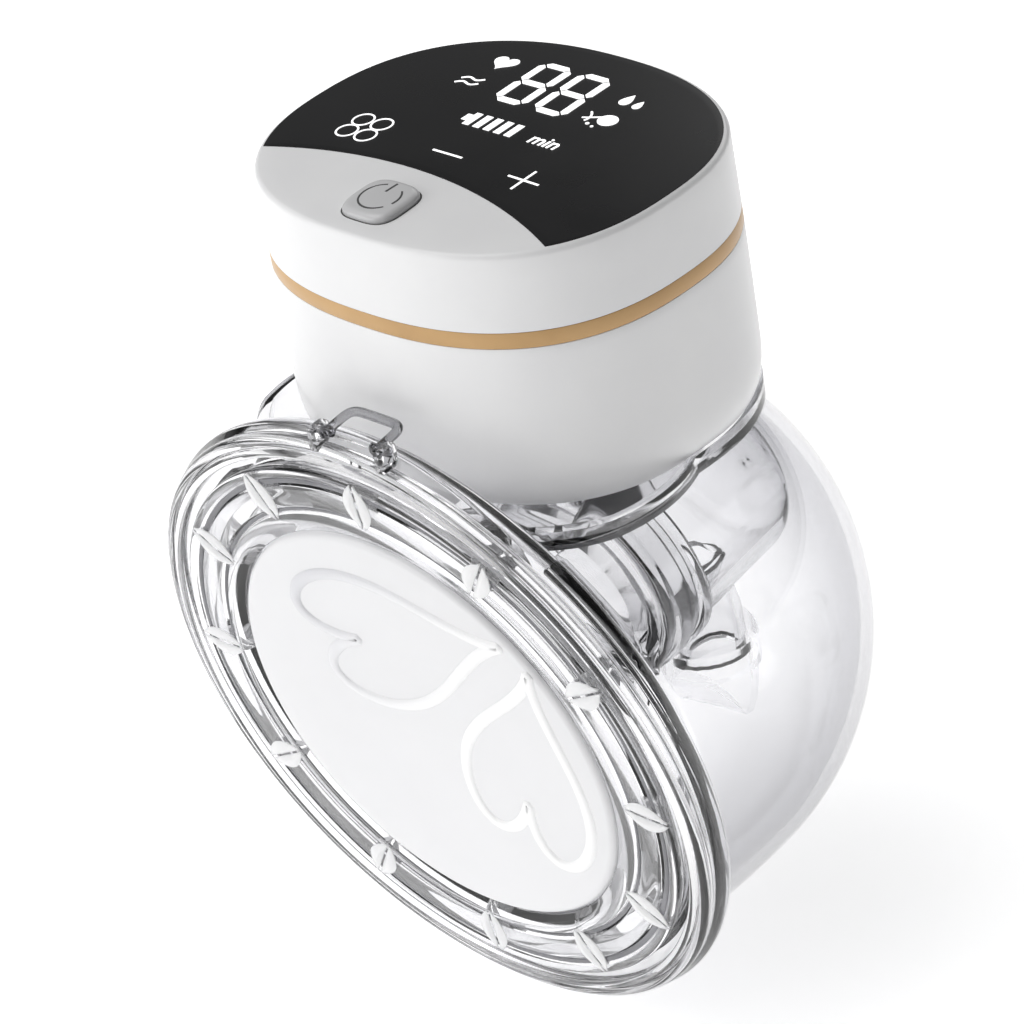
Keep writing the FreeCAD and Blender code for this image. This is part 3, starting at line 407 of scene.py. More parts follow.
INSIDE = {
    "main_board": moulded("circuit_board_green", (0.02, 0.16, 0.07), (0.03, 0.24, 0.10), (0.25, 0.4),
                          900.0, 0.2, 0.3, 400.0),
    "led_display": moulded("display_block", (0.02, 0.02, 0.02), (0.05, 0.05, 0.05), (0.4, 0.5)),
    "power_switch_body": moulded("switch_black", (0.02, 0.02, 0.02), (0.04, 0.04, 0.04), (0.4, 0.5)),
    "touch_key_contacts": moulded("contact_spring_steel", (0.55, 0.55, 0.56), (0.72, 0.72, 0.74),
                                  (0.2, 0.35), metal=1.0),
    "battery_cell": moulded("battery_foil", (0.58, 0.59, 0.60), (0.78, 0.79, 0.80), (0.3, 0.45), 500.0,
                            0.4, 0.0, 150.0, 1.0),
    "battery_foam_pad": moulded("foam_grey", (0.03, 0.03, 0.03), (0.07, 0.07, 0.07), (0.8, 0.95), 1500.0,
                                0.9),
    "usb_c_port": moulded("port_nickel", (0.50, 0.50, 0.51), (0.68, 0.68, 0.70), (0.2, 0.3), metal=1.0),
    "board_screws": moulded("screw_nickel", (0.48, 0.48, 0.50), (0.66, 0.66, 0.68), (0.25, 0.4), metal=1.0),
    "pump_motor": moulded("motor_zinc", (0.45, 0.46, 0.48), (0.62, 0.63, 0.65), (0.3, 0.45), 800.0, 0.2,
                          0.0, 120.0, 1.0),
    "motor_saddle": moulded("saddle_black", (0.02, 0.02, 0.02), (0.05, 0.05, 0.05), (0.4, 0.55)),
    "crank_case": moulded("case_grey", (0.16, 0.17, 0.18), (0.22, 0.23, 0.24), (0.4, 0.5)),
    "pump_membrane": moulded("membrane_rubber", (0.015, 0.015, 0.015), (0.03, 0.03, 0.03), (0.6, 0.75),
                             900.0, 0.3),
    "valve_cap": moulded("cap_grey", (0.16, 0.17, 0.18), (0.22, 0.23, 0.24), (0.4, 0.5)),
    "release_valve_case": moulded("valve_zinc", (0.44, 0.45, 0.47), (0.60, 0.61, 0.63), (0.3, 0.4),
                                  metal=1.0),
    "plunger_spring": moulded("spring_steel", (0.50, 0.50, 0.52), (0.70, 0.70, 0.72), (0.2, 0.35), 1800.0,
                              0.5, metal=1.0),
    "air_nozzle": moulded("nozzle_grey", (0.17, 0.18, 0.19), (0.23, 0.24, 0.25), (0.35, 0.45)),
    "nozzle_gasket": white_silicone,
    "air_hose": moulded("hose_milky", (0.70, 0.70, 0.68), (0.80, 0.80, 0.78), (0.4, 0.5), 600.0, 0.1, 0.2),
    "valve_hose": moulded("valve_hose_milky", (0.70, 0.70, 0.68), (0.80, 0.80, 0.78), (0.4, 0.5), 600.0,
                          0.1, 0.2),
    "motor_shaft": moulded("shaft_steel", (0.52, 0.52, 0.54), (0.70, 0.70, 0.72), (0.15, 0.25), metal=1.0),
    "crank_disc": moulded("crank_black", (0.02, 0.02, 0.02), (0.04, 0.04, 0.04), (0.4, 0.5)),
    "valve_plunger": moulded("plunger_steel", (0.50, 0.50, 0.52), (0.68, 0.68, 0.70), (0.2, 0.3), metal=1.0),
    "suction_diaphragm": soft_silicone,
    "duckbill_valve": faint_silicone,
    "linker": clear_duct,
}
for name, material in INSIDE.items():
    for number in range(max(1, len(nodes[name].data.materials))):
        if number < len(nodes[name].data.materials):
            nodes[name].material_slots[number].material = material
        else:
            nodes[name].data.materials.append(material)

# ---------------------------------------------------------------- ring and milk cup

ring_profile = (
    [(41.0, 0.0), (41.0, -2.0), (46.4, -2.0), (46.4, -4.2), (48.8, -4.2)]
    + arc((49.5, -0.9), 3.35, -85, 12, 12)
    + [(52.2, 0.5)]
    + arc((50.9, 1.3), 1.35, -25, 95, 8)
    + [(50.3, 2.2)]
    + arc((49.55, 2.25), 0.72, 0, 180, 8)
    + [(48.8, 0.9), (48.2, 0.45), (47.6, 0.1), (47.0, 0.0)]
)
cup_ring = soften(turn("cup_ring", ring_profile, 180), 0.25)
place(cup_ring, FLANGE)
finish(cup_ring, "collector", clear_ring, "clear_cup", "collector_ring")


def cup_levels():
    """The cup's outside in the flange frame: eased neck, then half a sphere, from the ring backwards."""
    levels = [(48.6, 48.6, 0, -0.1, -4.0)]
    for step in range(2, 13):
        share = step / 12
        ease = share * share * (3 - 2 * share)
        radius = 48.5 * (1 - ease) + 45.5 * ease
        levels.append((radius, radius, 0, -6.2 * ease, -28.5 * share))
    for step in range(1, 31):
        angle = math.radians(90 * step / 30)
        radius = max(45.5 * math.cos(angle), 0.01)
        levels.append((radius, radius, 0, -6.2, -28.5 - 45.5 * math.sin(angle)))
    return levels


milk_cup = loft("milk_cup", cup_levels(), 160)
place(milk_cup, FLANGE)
choose(milk_cup)
bpy.ops.object.mode_set(mode="EDIT")
bpy.ops.mesh.select_all(action="SELECT")
bpy.ops.mesh.bisect(plane_co=(0, 0, 89.4 * MM), plane_no=(0, 0, 1), clear_outer=True)
bpy.ops.object.mode_set(mode="OBJECT")
thicken(milk_cup, 2.0)
soften(milk_cup, 0.3, 50)
foot = box("cup_foot", (22, 18, 6.4), (0, -5, 3.2), None, 1.6, 4)
milk_cup = together("milk_cup", [milk_cup, foot])
finish(milk_cup, "collector", clear_dome, "clear_cup", "collector_cup")

clear()
tray = nodes["cup_tray"].copy()
tray.data = nodes["cup_tray"].data.copy()
tray.name = "clear_tray"
tray.parent = None
for key in list(tray.keys()):
    del tray[key]
bpy.context.scene.collection.objects.link(tray)
choose(tray)
bpy.ops.object.mode_set(mode="EDIT")
bpy.ops.mesh.select_all(action="SELECT")
bpy.ops.mesh.customdata_custom_splitnormals_clear()
bpy.ops.mesh.remove_doubles(threshold=1e-6)
bpy.ops.transform.resize(value=TRAY_SCALE, center_override=(0, 0, TRAY_BASE * MM))
bpy.ops.object.mode_set(mode="OBJECT")
soften(tray, 0.3, 40, 2)
finish(tray, "collector", clear_tray, "clear_tray", "cup_tray")

# ---------------------------------------------------------------- breast shield

shield_profile = (
    [(46.5, 0.05), (46.5, 1.3), (42.4, 1.3)]
    + arc((41.4, -3.0), 3.2, 70, 25, 5)
    + [(34.6, -4.4), (29.0, -9.2), (23.5, -14.4), (17.6, -20.0)]
    + arc((16.6, -25.4), 4.6, 120, 180, 6)
    + [(12.0, -39.9), (14.45, -39.9), (14.45, -31.3), (16.65, -31.3), (16.65, -40.5), (18.0, -40.5)]
    + [(18.0, -38.6), (17.3, -38.2), (17.3, -36.6), (18.0, -36.2), (18.0, -33.4), (17.3, -33.0),
       (17.3, -31.6),
       (18.0, -31.2), (18.0, -29.0)]
    + [(13.9, -28.6), (13.9, -25.8)]
    + arc((17.6, -25.2), 3.7, 185, 130, 5)
    + [(24.8, -15.8), (30.3, -10.6), (36.0, -5.8), (40.6, -0.5), (41.0, 0.05)]
)
shield = soften(turn("shield", shield_profile, 144), 0.2)
place(shield, FLANGE)
finish(shield, "collector", soft_silicone, "clear_silicone", "breast_shield", "shield_tunnel_sleeve")

# ---------------------------------------------------------------- dust cover

disc_profile = (
    [(0, 1.9), (35.6, 1.9)]
    + arc((34.3, 1.95), 1.3, -5, 90, 10)
    + [(30.0, 3.28), (20.0, 3.3), (0, 3.3)]
)
disc = soften(turn("cover_disc", disc_profile, 160, closed=False), 0, smooth=50)
rim_profile = (
    [(35.7, 1.9), (47.15, 1.9)]
    + arc((46.6, 2.45), 0.55, 0, 90, 4)
    + [(45.6, 3.0), (45.3, 2.45), (44.4, 2.45), (44.1, 3.0), (40.4, 3.0), (40.1, 2.5), (39.5, 2.5),
       (39.2, 3.0),
       (37.4, 3.0), (36.6, 2.6), (35.7, 2.5)]
)
rim = soften(turn("cover_rim", rim_profile, 160), 0.12)
for piece in (disc, rim):
    place(piece, FLANGE)
finish(disc, "dust_cover", milky, "milky_cover", "dust_cover")
finish(rim, "dust_cover", clear_ring, "milky_cover", "dust_cover")

# Painted shade: thin dark grey translucent rings laid in the cover's two grooves, standing in for the shade and dark
# reflections seen there
groove_shade_rings = []
for inner, outer, low, high in ((44.45, 45.25, 2.47, 2.75), (39.55, 40.05, 2.52, 2.72)):
    groove_shade_rings.append(turn("cover_groove_shade", [(inner, low), (outer, low), (outer, high), (inner, high)], 144))
groove_shade = soften(together("cover_groove_shade", groove_shade_rings), 0.06)
place(groove_shade, FLANGE)
finish(groove_shade, "dust_cover", groove_shade_grey, "milky_cover", "dust_cover")


def heart_outline(tip, turned, length, width, count=40):
    """Heart with its tip at a place on the cover, turned about the cover's axis."""
    spin = math.radians(turned)
    places = []
    for step in range(count):
        angle = 2 * math.pi * (step + 0.5) / count
        across = 16 * math.sin(angle) ** 3
        along = 13 * math.cos(angle) - 5 * math.cos(2 * angle) - 2 * math.cos(3 * angle) - math.cos(4 * angle)
        x = (along + 17) / 29 * length
        y = across / 32 * width
        places.append((tip[0] + x * math.cos(spin) - y * math.sin(spin),
                       tip[1] + x * math.sin(spin) + y * math.cos(spin)))
    return places


hearts = [strip("heart_bead", heart_outline(*values), 2.1, 0.8, closed=True)
          for values in (((23.0, 24.0), 197, 43.5, 24.5), ((27.3, 20.2), 251.5, 40, 24))]
heart_beads = together("heart_beads", hearts)
place(heart_beads, FLANGE @ Matrix.Translation((0, 0, HEART_HEIGHT * MM)))
finish(heart_beads, "dust_cover", heart_white, "milky_cover", "dust_cover")


def leaf(side):
    """One half of a snap tab: a pointed leaf, long along the radius."""
    clear()
    bpy.ops.mesh.primitive_grid_add(x_subdivisions=12, y_subdivisions=3, size=2)
    piece = bpy.context.active_object
    for vertex in piece.data.vertices:
        share = (vertex.co.x + 1) / 2
        wide = 0.05 + 2.15 * math.sin(math.pi * min(max(share, 0.0), 1.0)) ** 0.85
        lean = (vertex.co.y + 1) / 2
        dome = 0.55 * math.sin(math.pi * share) * math.sin(math.pi * min(0.92, lean + 0.06))
        vertex.co = ((-4.1 + 8.2 * share) * MM, side * (0.3 + wide * lean) * MM, (3.35 + dome) * MM)
    bpy.ops.object.mode_set(mode="EDIT")
    bpy.ops.mesh.select_all(action="SELECT")
    bpy.ops.mesh.normals_make_consistent(inside=False)
    bpy.ops.object.mode_set(mode="OBJECT")
    thicken(piece, 0.5, 0)
    return soften(piece, 0.12)


tabs = []
for number in range(12):
    for side in (-1, 1):
        tab = leaf(side)
        around = Matrix.Rotation(math.radians(30 * number - 2), 4, "Z")
        place(tab, around @ Matrix.Translation((42.7 * MM, 0, -0.7 * MM)))
        tabs.append(tab)
snap_tabs = together("snap_tabs", tabs)
place(snap_tabs, FLANGE)
finish(snap_tabs, "dust_cover", frosted, "frosted_tabs", "cover_snap_tabs")

# ---------------------------------------------------------------- pump unit

wall_levels = []
for step in range(0, 9):
    share = math.sin(math.radians(90 * step / 8))
    rise = BOTTOM_ROUND * (1 - math.cos(math.radians(90 * step / 8)))
    height = BOTTOM + rise
    wall_levels.append(height)
for step in range(1, 13):
    wall_levels.append(BOTTOM + BOTTOM_ROUND + (BAND_LOW - BOTTOM - BOTTOM_ROUND) * step / 12)


def section(height, inset=0.0):
    offset = side_offset(height) - inset
    return (HALF_X + offset, HALF_Y + offset, 0, 0, height)


lower = [(0.05, 0.05, 0, 0, BOTTOM), (HALF_X - 6, HALF_Y - 6, 0, 0, BOTTOM),
         (HALF_X - 2.9, HALF_Y - 2.9, 0, 0, BOTTOM)]
lower += [section(height) for height in wall_levels[1:]]
lower += [section(BAND_LOW, 1.6), (HALF_X - 0.9, HALF_Y - 0.9, 0, 0, BOTTOM + 6),
          (HALF_X - 4, HALF_Y - 4, 0, 0, BOTTOM + 1.6),
          (HALF_X - 6, HALF_Y - 6, 0, 0, BOTTOM + 1.6), (0.05, 0.05, 0, 0, BOTTOM + 1.6), (0.05, 0.05, 0,
                                                                                           0, BOTTOM)]
lower_shell = soften(loft("unit_lower_shell", lower, 180, POWER), 0.18, 60)
finish(lower_shell, "pump_unit", white_body, "white_housing", "lower_shell")

band = [section(BAND_LOW + 0.03), section(BAND_HIGH - 0.03), section(BAND_HIGH - 0.03, 1.5),
        section(BAND_LOW + 0.03, 1.5),
        section(BAND_LOW + 0.03)]
band = soften(loft("unit_band", band, 180, POWER), 0.12, 50)
finish(band, "pump_unit", gold, "gold_band", "accent_band")

upper = [section(height) for height in (BAND_HIGH + 0.02, PORT_LOW, PORT_HIGH, 127.7, 130.0, RIM - 1.6)]
upper_shell = loft("unit_upper_shell", upper, 180, POWER)

choose(upper_shell)
bpy.ops.object.mode_set(mode="EDIT")
bpy.ops.mesh.select_all(action="DESELECT")
bpy.ops.object.mode_set(mode="OBJECT")
top_height = max(vertex.co.z for vertex in upper_shell.data.vertices)
for edge in upper_shell.data.edges:
    edge.select = all(upper_shell.data.vertices[index].co.z > top_height - 1e-6 for index in edge.vertices)
bpy.ops.object.mode_set(mode="EDIT")
wall_top = HALF_X + side_offset(RIM - 1.6)
shrink = [1 - RIM_ROUND * (1 - math.cos(math.radians(18 * step))) / wall_top for step in range(1, 6)]
inner = [shrink[-1] * (1 - step / 14) for step in range(1, 14)] + [0.004]
last = 1.0
for scale in shrink + inner:
    bpy.ops.mesh.extrude_region_move(TRANSFORM_OT_translate={"value": (0, 0, 0.00001)})
    bpy.ops.transform.resize(value=(scale / last, scale / last, 1), center_override=(0, 0, 0))
    last = scale
bpy.ops.mesh.edge_collapse()
bpy.ops.mesh.select_all(action="SELECT")
bpy.ops.mesh.normals_make_consistent(inside=False)
bpy.ops.object.mode_set(mode="OBJECT")
base_half = (HALF_X + side_offset(RIM - 1.6), HALF_Y + side_offset(RIM - 1.6))
for vertex in upper_shell.data.vertices:
    if vertex.co.z <= top_height - 1e-6:
        continue
    x, y = vertex.co.x / MM, vertex.co.y / MM
    level = ((abs(x) / base_half[0]) ** POWER + (abs(y) / base_half[1]) ** POWER) ** (1 / POWER)
    inset = (1 - level) * wall_top
    drop = 0.0
    if inset < RIM_ROUND:
        drop = RIM_ROUND * (1 - math.sqrt(max(0.0, 1 - (1 - inset / RIM_ROUND) ** 2)))
    vertex.co.z = (crown(x, y) - drop) * MM
choose(upper_shell)
bpy.ops.object.mode_set(mode="EDIT")
bpy.ops.mesh.select_mode(type="FACE")
bpy.ops.mesh.select_all(action="DESELECT")
bpy.ops.object.mode_set(mode="OBJECT")
for face in upper_shell.data.polygons:
    x, y, z = face.center / MM
    face.select = y > 0 and abs(x) < 4.6 and PORT_LOW < z < PORT_HIGH
bpy.ops.object.mode_set(mode="EDIT")
bpy.ops.mesh.delete(type="FACE")
bpy.ops.mesh.select_mode(type="VERT")
bpy.ops.object.mode_set(mode="OBJECT")
upper_shell = soften(upper_shell, 0, smooth=60)
finish(upper_shell, "pump_unit", white_body, "white_housing", "upper_shell")

port_middle = (PORT_LOW + PORT_HIGH) / 2
port_wall = HALF_Y + side_offset(port_middle)
port_rim = loft("port_rim", [(5.7, 2.0, 0, 0, -0.9), (5.7, 2.0, 0, 0, 0.08), (4.55, 1.66, 0, 0, 0.08),
                             (4.55, 1.66, 0, 0, -0.9), (5.7, 2.0, 0, 0, -0.9)], 96, 3.6)
port_rim.data.transform(Matrix.Translation(Vector((0, port_wall, port_middle)) * MM)
                        @ Matrix.Rotation(math.radians(-90), 4, "X"))
soften(port_rim, 0.1, 50)
finish(port_rim, "pump_unit", engraving_and_gap_shade, "black_plastic")

# ---------------------------------------------------------------- display panel


def crescent_low(x):
    return CRESCENT_Y + math.sqrt(CRESCENT_R ** 2 - (x - CRESCENT_X) ** 2)


def outline_high(x):
    share = min(abs(x) / (HALF_X - PANEL_INSET), 1.0)
    return (HALF_Y - PANEL_INSET) * (1 - share ** POWER) ** (1 / POWER)


def panel_corner(side):
    """Where the crescent's edge meets the panel's outline on one side."""
    near, far = 15.0, HALF_X - PANEL_INSET
    for _ in range(40):
        middle = (near + far) / 2
        if crescent_low(side * middle) > -outline_high(side * middle):
            near = middle
        else:
            far = middle
    return near


clear()
bpy.ops.mesh.primitive_grid_add(x_subdivisions=96, y_subdivisions=28, size=2)
panel = bpy.context.active_object
panel.name = "panel_gloss"
corner_x = {side: panel_corner(side) for side in (-1, 1)}
for vertex in panel.data.vertices:
    u, v = vertex.co.x, vertex.co.y
    side = -1 if u < 0 else 1
    step = abs(u) * 48
    if step <= 34:
        x = corner_x[side] * step / 34
    else:
        share = math.sin(math.radians(90 * (step - 34) / 14))
        x = corner_x[side] + (HALF_X - PANEL_INSET - corner_x[side]) * share
    top = outline_high(x)
    bottom = max(-top, crescent_low(side * x))
    if top - bottom < 0.02:
        top, bottom = bottom + 0.01, bottom
    y = bottom + (top - bottom) * (v + 1) / 2
    vertex.co = (side * x * MM, y * MM, (crown(x, y) + 0.07) * MM)
bpy.ops.object.mode_set(mode="EDIT")
bpy.ops.mesh.select_all(action="SELECT")
bpy.ops.mesh.remove_doubles(threshold=4e-6)
bpy.ops.mesh.normals_make_consistent(inside=False)
bpy.ops.object.mode_set(mode="OBJECT")
thicken(panel, 0.9)
soften(panel, 0.12, 45, 3)
finish(panel, "pump_unit", black_gloss, "black_panel", "display_panel")

# ---------------------------------------------------------------- icons on the display


def icon_height(x, y):
    return crown(x, y) + 0.1


SLANT = -0.07


def lean(x, y, centre=15.6):
    return (x + (y - centre) * SLANT, y)


def segment(start, end, wide):
    """One bar of a digit: a flat strip with pointed ends, laid on the crown."""
    (x0, y0), (x1, y1) = start, end
    length = math.hypot(x1 - x0, y1 - y0)
    across = ((y0 - y1) / length * wide / 2, (x1 - x0) / length * wide / 2)
    along = ((x1 - x0) / length * wide / 2, (y1 - y0) / length * wide / 2)
    corners = [
        (x0, y0), (x0 + along[0] + across[0], y0 + along[1] + across[1]),
        (x1 - along[0] + across[0], y1 - along[1] + across[1]), (x1, y1),
        (x1 - along[0] - across[0], y1 - along[1] - across[1]), (x0 + along[0] - across[0],
                                                                 y0 + along[1] - across[1]),
    ]
    return patch("bar", corners)


def patch(name, corners, thickness=0.08):
    """Flat shape with the given outline, filled, laid on the crown."""
    clear()
    bpy.ops.mesh.primitive_circle_add(vertices=len(corners), radius=MM, fill_type="NGON")
    piece = bpy.context.active_object
    piece.name = name
    for vertex, (x, y) in zip(piece.data.vertices, corners):
        vertex.co = (x * MM, y * MM, 0)
    bpy.ops.object.mode_set(mode="EDIT")
    bpy.ops.mesh.select_all(action="SELECT")
    bpy.ops.mesh.quads_convert_to_tris()
    bpy.ops.mesh.normals_make_consistent(inside=False)
    bpy.ops.object.mode_set(mode="OBJECT")
    for vertex in piece.data.vertices:
        vertex.co.z = icon_height(vertex.co.x / MM, vertex.co.y / MM) * MM
    if piece.data.polygons[0].normal.z < 0:
        piece.data.flip_normals()
    thicken(piece, thickness, 1)
    return soften(piece, 0, smooth=30)


def digit(x, y, wide, tall, bar):
    """A seven-bar eight."""
    left, right = x - wide / 2, x + wide / 2
    low_y, high_y = y - tall / 2, y + tall / 2
    gap = 0.22
    bars = []
    for (a, b) in (((left, y), (left, high_y)), ((right, y), (right, high_y)), ((left, low_y), (left, y)),
                   ((right, low_y), (right, y))):
        bars.append(segment(lean(a[0], a[1] + gap), lean(b[0], b[1] - gap), bar))
    for level in (low_y, y, high_y):
        bars.append(segment(lean(left + gap, level), lean(right - gap, level), bar))
    return bars


def ring_points(x, y, radius, start=0, end=360, count=20, stretch=1.0):
    return [(x + radius * stretch * math.cos(math.radians(start + (end - start) * step / count)),
             y + radius * math.sin(math.radians(start + (end - start) * step / count))) for step in range(count + 1)]


def small_heart(x, y, wide):
    places = []
    for step in range(36):
        angle = 2 * math.pi * step / 36
        across = 16 * math.sin(angle) ** 3
        along = 13 * math.cos(angle) - 5 * math.cos(2 * angle) - 2 * math.cos(3 * angle) - math.cos(4 * angle)
        places.append((x + across * wide / 32, y + along * wide / 32))
    return places


def drop_shape(x, y, wide):
    places = []
    for step in range(28):
        angle = 2 * math.pi * step / 28
        narrow = math.sin(angle / 2) ** 1.3
        places.append((x + math.sin(angle) * narrow * wide / 2 * 1.1, y + math.cos(angle) * wide * 0.72))
    return places


icons = digit(-5.4, 15.6, 5.0, 11.7, 1.3) + digit(2.3, 15.6, 5.0, 11.7, 1.3)
icons.append(patch("heart_icon", small_heart(-14.4, 19.1, 4.4)))
for rise in (0.0, 1.5):
    wave = [(-17.0 + 3.9 * step / 8, 10.9 + rise + 0.13 * step + 0.5 * math.sin(step / 4 * math.pi)) for step in range(9)]
    icons.append(strip("wave_icon", wave, 0.42, 0.16, lift=icon_height))
icons.append(patch("drop_icon", drop_shape(10.7, 18.3, 2.3)))
icons.append(patch("drop_icon", drop_shape(13.2, 17.8, 1.7)))
icons.append(patch("bulb_icon", ring_points(12.5, 11.9, 1.55, 0, 345, 23, 1.05)))
icons.append(strip("stroke_icon", [(8.5, 12.9), (9.3, 12.2), (9.7, 11.2), (9.3, 10.3)], 0.36, 0.16,
                   lift=icon_height))
icons.append(strip("stroke_icon", [(8.4, 10.9), (9.2, 11.2), (10.2, 11.9), (10.9, 12.3)], 0.36, 0.16,
                   lift=icon_height))
icons.append(patch("spark_icon", ring_points(10.4, 9.8, 0.32, 0, 330, 11)))
icons.append(patch("spark_icon", ring_points(11.6, 9.4, 0.26, 0, 330, 11)))
icons.append(patch("battery_nub", [(-7.5, 2.2), (-6.5, 2.2), (-6.5, 3.9), (-7.5, 3.9)]))
for number in range(5):
    x = -6.4 + number * 2.05
    icons.append(patch("battery_bar", [(x, 1.2), (x + 1.2, 1.2), (x + 1.1, 4.7), (x - 0.1, 4.7)]))
icons.append(strip("minus_key", [(-4.8, -6.6), (-2.9, -6.6), (-1.0, -6.6), (0.9, -6.6)], 0.42, 0.16,
                   lift=icon_height))
icons.append(strip("plus_key", [(10.6, -7.3), (12.5, -7.3), (14.5, -7.3), (16.4, -7.3)], 0.42, 0.16,
                   lift=icon_height))
icons.append(strip("plus_key", [(13.5, -10.0), (13.5, -8.2), (13.5, -6.4), (13.5, -4.6)], 0.42, 0.16,
                   lift=icon_height))
for x, y in ((-21.3, -4.1), (-17.5, -4.1), (-21.3, -7.6), (-17.5, -7.6)):
    icons.append(strip("clover_key", ring_points(x, y, 1.72, 0, 345, 15), 0.32, 0.16, closed=True,
                       lift=icon_height))

letters = bpy.data.curves.new("min_letters", "FONT")
letters.body = "min"
letters.size = 3.7 * MM
letters.shear = 0.1
letters.offset = 0.00003
letters.align_x = "CENTER"
letters.extrude = 0
writing = bpy.data.objects.new("min_letters", letters)
bpy.context.scene.collection.objects.link(writing)
choose(writing)
bpy.ops.object.convert(target="MESH")
writing = bpy.context.active_object
for vertex in writing.data.vertices:
    x, y = vertex.co.x / MM + 8.8, vertex.co.y / MM + 1.3
    vertex.co = (x * MM, y * MM, (icon_height(x, y) + 0.05) * MM)
thicken(writing, 0.08, 0)
icons.append(soften(writing, 0, smooth=30))

display_icons = together("display_icons", icons)
finish(display_icons, "pump_unit", lit, "display_module")

# ---------------------------------------------------------------- power button


base = crown(BUTTON_X, BUTTON_Y)


def button_ring(half, height):
    return (half, half, BUTTON_X, BUTTON_Y, height)


def follow_crown(piece):
    """Raise or lower a piece's points so that it keeps its height above the domed top."""
    for vertex in piece.data.vertices:
        vertex.co.z += (crown(vertex.co.x / MM, vertex.co.y / MM) - base) * MM


button_levels = [button_ring(BUTTON_HALF - 0.05, base - 2.0), button_ring(BUTTON_HALF, base + 0.3)]
for step in range(1, 9):
    angle = math.radians(90 * step / 8)
    button_levels.append(button_ring(BUTTON_HALF - 1.2 * (1 - math.cos(angle)),
                                     base + 0.3 + 0.85 * math.sin(angle)))
for share in (0.88, 0.7, 0.5, 0.3, 0.12, 0.001):
    button_levels.append(button_ring((BUTTON_HALF - 1.2) * share, base + 1.15 + 0.15 * (1 - share ** 2)))
button = loft("button_cap", button_levels, 96, 3.3)
follow_crown(button)
soften(button, 0, smooth=60)
finish(button, "power_button", button_grey, "grey_button", "power_button")


def button_top(x, y):
    away = math.hypot(x - BUTTON_X, y - BUTTON_Y) / (BUTTON_HALF - 1.2)
    return crown(x, y) + 1.15 + 0.15 * (1 - min(away, 1.0) ** 2)


symbol = [strip("power_arc", ring_points(BUTTON_X, BUTTON_Y, 3.2, 112, 322, 20), 0.36, 0.12, lift=button_top),
          strip("power_arc", ring_points(BUTTON_X, BUTTON_Y, 3.2, 345, 408, 8), 0.36, 0.12, lift=button_top),
          strip("power_bar", [(BUTTON_X, BUTTON_Y + rise) for rise in (1.2, 2.1, 2.9, 3.7)], 0.4, 0.12,
                lift=button_top)]
power_symbol = together("power_symbol", symbol)
finish(power_symbol, "power_button", engraving_and_gap_shade, "grey_button")

# Painted shade: a thin dark ring around the button, standing in for the shadow in the gap between the button and the
# top
gap_shade_levels = [button_ring(half, base + rise) for half, rise in
               ((BUTTON_HALF + 0.02, 0.03), (BUTTON_HALF + 0.22, 0.03), (BUTTON_HALF + 0.22, -0.4),
                (BUTTON_HALF + 0.02, -0.4), (BUTTON_HALF + 0.02, 0.03))]
gap_shade = loft("button_gap_shade", gap_shade_levels, 96, 3.3)
follow_crown(gap_shade)
soften(gap_shade, 0, smooth=40)
finish(gap_shade, "pump_unit", engraving_and_gap_shade, "black_plastic")

# ---------------------------------------------------------------- strap loop and its sockets

pivot = Vector((2.2, -38.0, 105.2))
loop_matrix = Matrix.Translation(pivot * MM) @ Matrix.Rotation(math.radians(8), 4, "X")
loop_path = [(-5.1, -1.0), (-5.1, 1.0), (-5.1, 3.0), (-5.0, 4.6), (-4.1, 5.4), (-2.6, 5.5), (0.0, 5.5),
             (2.6, 5.5),
             (4.1, 5.4), (5.0, 4.6), (5.1, 3.0), (5.1, 1.0), (5.1, -1.0)]
loop = strip("loop_bar", loop_path, 1.55, 1.4, matrix=loop_matrix)
pins = []
for side in (-1, 1):
    clear()
    bpy.ops.mesh.primitive_cylinder_add(vertices=32, radius=0.72 * MM, depth=3.4 * MM,
                                        location=((pivot.x + side * 5.6) * MM, pivot.y * MM, pivot.z * MM),
                                        rotation=(0, math.radians(90), 0))
    pin = bpy.context.active_object
    bpy.ops.object.transform_apply(location=True, rotation=True, scale=True)
    pins.append(soften(pin, 0.15))
loop = together("loop_bar", [loop] + pins)
finish(loop, "strap_loop", smoky, "clear_loop", "strap_loop")

sockets = []
for side in (-1, 1):
    across = pivot.x + side * 6.6
    block = box("loop_socket", (1.9, 3.4, 4.0), (across, pivot.y - 0.2, pivot.z - 1.0), None, 0.5)
    sockets.append(block)
sockets = together("loop_sockets", sockets)
finish(sockets, "collector", clear_ring, "clear_cup")

# ---------------------------------------------------------------- floor, light and camera

clear()
bpy.ops.mesh.primitive_plane_add(size=6, location=(0, 0, -0.00015))
floor = bpy.context.active_object
floor.name = "studio_floor"
floor_material, _, floor_shader = new_material("studio_white")
floor_shader.inputs["Base Color"].default_value = (0.92, 0.92, 0.92, 1)
floor_shader.inputs["Roughness"].default_value = 1.0
floor_shader.inputs["Specular IOR Level"].default_value = 0.0
floor_shader.inputs["Emission Color"].default_value = (1, 1, 1, 1)
floor_shader.inputs["Emission Strength"].default_value = 0.62
floor.data.materials.append(floor_material)
floor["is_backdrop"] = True

scene = bpy.context.scene
world = bpy.data.worlds.new("studio")
scene.world = world
world.use_nodes = True
sky = world.node_tree
background = [node for node in sky.nodes if node.type == "BACKGROUND"][0]
direction = sky.nodes.new("ShaderNodeTexCoord")
split = sky.nodes.new("ShaderNodeSeparateXYZ")
ramp = sky.nodes.new("ShaderNodeValToRGB")
sky.links.new(direction.outputs["Generated"], split.inputs["Vector"])
sky.links.new(split.outputs["Z"], ramp.inputs["Fac"])
side = sky.nodes.new("ShaderNodeVectorMath")
side.operation = "DOT_PRODUCT"
side.inputs[1].default_value = (0.86, 0.5, 0)
shade = sky.nodes.new("ShaderNodeMapRange")
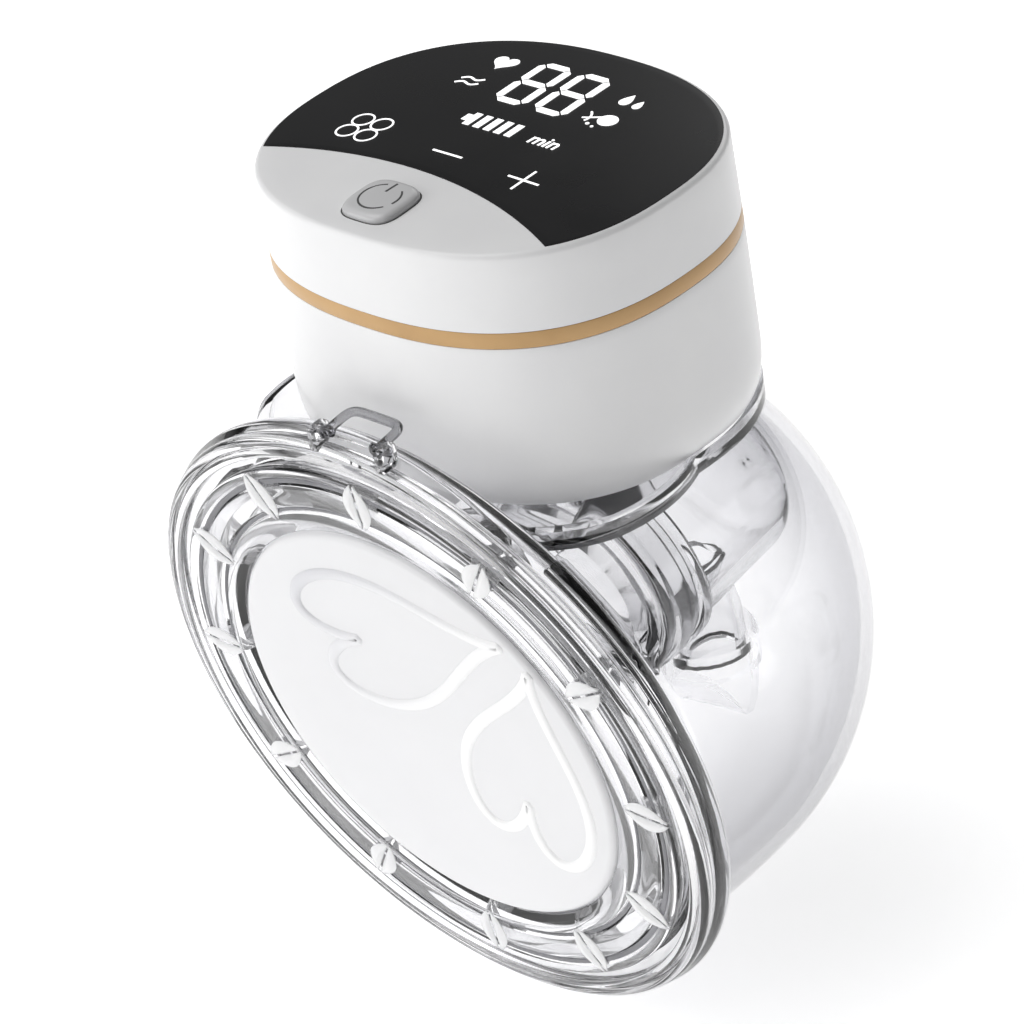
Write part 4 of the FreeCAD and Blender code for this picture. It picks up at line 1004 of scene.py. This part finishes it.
shade.inputs["From Min"].default_value = -0.5
shade.inputs["From Max"].default_value = 0.8
shade.inputs["To Min"].default_value = 1.0
shade.inputs["To Max"].default_value = 0.12
tone = sky.nodes.new("ShaderNodeVectorMath")
tone.operation = "SCALE"
sky.links.new(direction.outputs["Generated"], side.inputs[0])
sky.links.new(side.outputs["Value"], shade.inputs["Value"])
sky.links.new(ramp.outputs["Color"], tone.inputs[0])
sky.links.new(shade.outputs["Result"], tone.inputs["Scale"])
sky.links.new(tone.outputs["Vector"], background.inputs["Color"])
ramp.color_ramp.elements[0].position = 0.0
ramp.color_ramp.elements[0].color = (0.55, 0.55, 0.56, 1)
ramp.color_ramp.elements[1].position = 1.0
ramp.color_ramp.elements[1].color = (0.95, 0.95, 0.95, 1)
for position, value in ((0.08, 0.12), (0.20, 0.50), (0.40, 0.72), (0.55, 0.35), (0.66, 0.95)):
    element = ramp.color_ramp.elements.new(position)
    element.color = (value, value, value * 1.01, 1)
background.inputs["Strength"].default_value = 0.62

target = Vector((0.0158, -0.0226, 0.0886))


def softbox(name, direction, distance, size, power):
    clear()
    light = bpy.data.lights.new(name, "AREA")
    light.shape = "RECTANGLE"
    light.size, light.size_y = size
    light.energy = power
    lamp = bpy.data.objects.new(name, light)
    scene.collection.objects.link(lamp)
    lamp.location = target + Vector(direction).normalized() * distance
    lamp.rotation_euler = (target - lamp.location).to_track_quat("-Z", "Y").to_euler()
    return lamp


softbox("key", (-0.70, -1.0, 0.42), 1.2, (0.9, 0.8), 4.4)
softbox("top", (-0.3, -0.2, 1.0), 1.1, (0.8, 0.6), 3.6)
softbox("back", (-0.3, 1.0, 0.55), 1.2, (0.9, 0.4), 1.5)

camera_data = bpy.data.cameras.new("camera")
camera_data.lens = 197
camera_data.sensor_width = 36
camera_data.clip_start = 0.01
camera = bpy.data.objects.new("camera", camera_data)
scene.collection.objects.link(camera)
right = Vector((0.7288, 0.6680, -0.1506)).normalized()
back = Vector((0.6353, -0.5774, 0.5129)).normalized()
up = back.cross(right).normalized()
right = up.cross(back)
camera.matrix_world = Matrix.Translation((0.5263, -0.4866, 0.5008)) @ Matrix((
    (right.x, up.x, back.x), (right.y, up.y, back.y), (right.z, up.z, back.z))).to_4x4()
scene.camera = camera
scene.view_settings.view_transform = "Standard"
scene.view_settings.look = "None"

low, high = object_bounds()
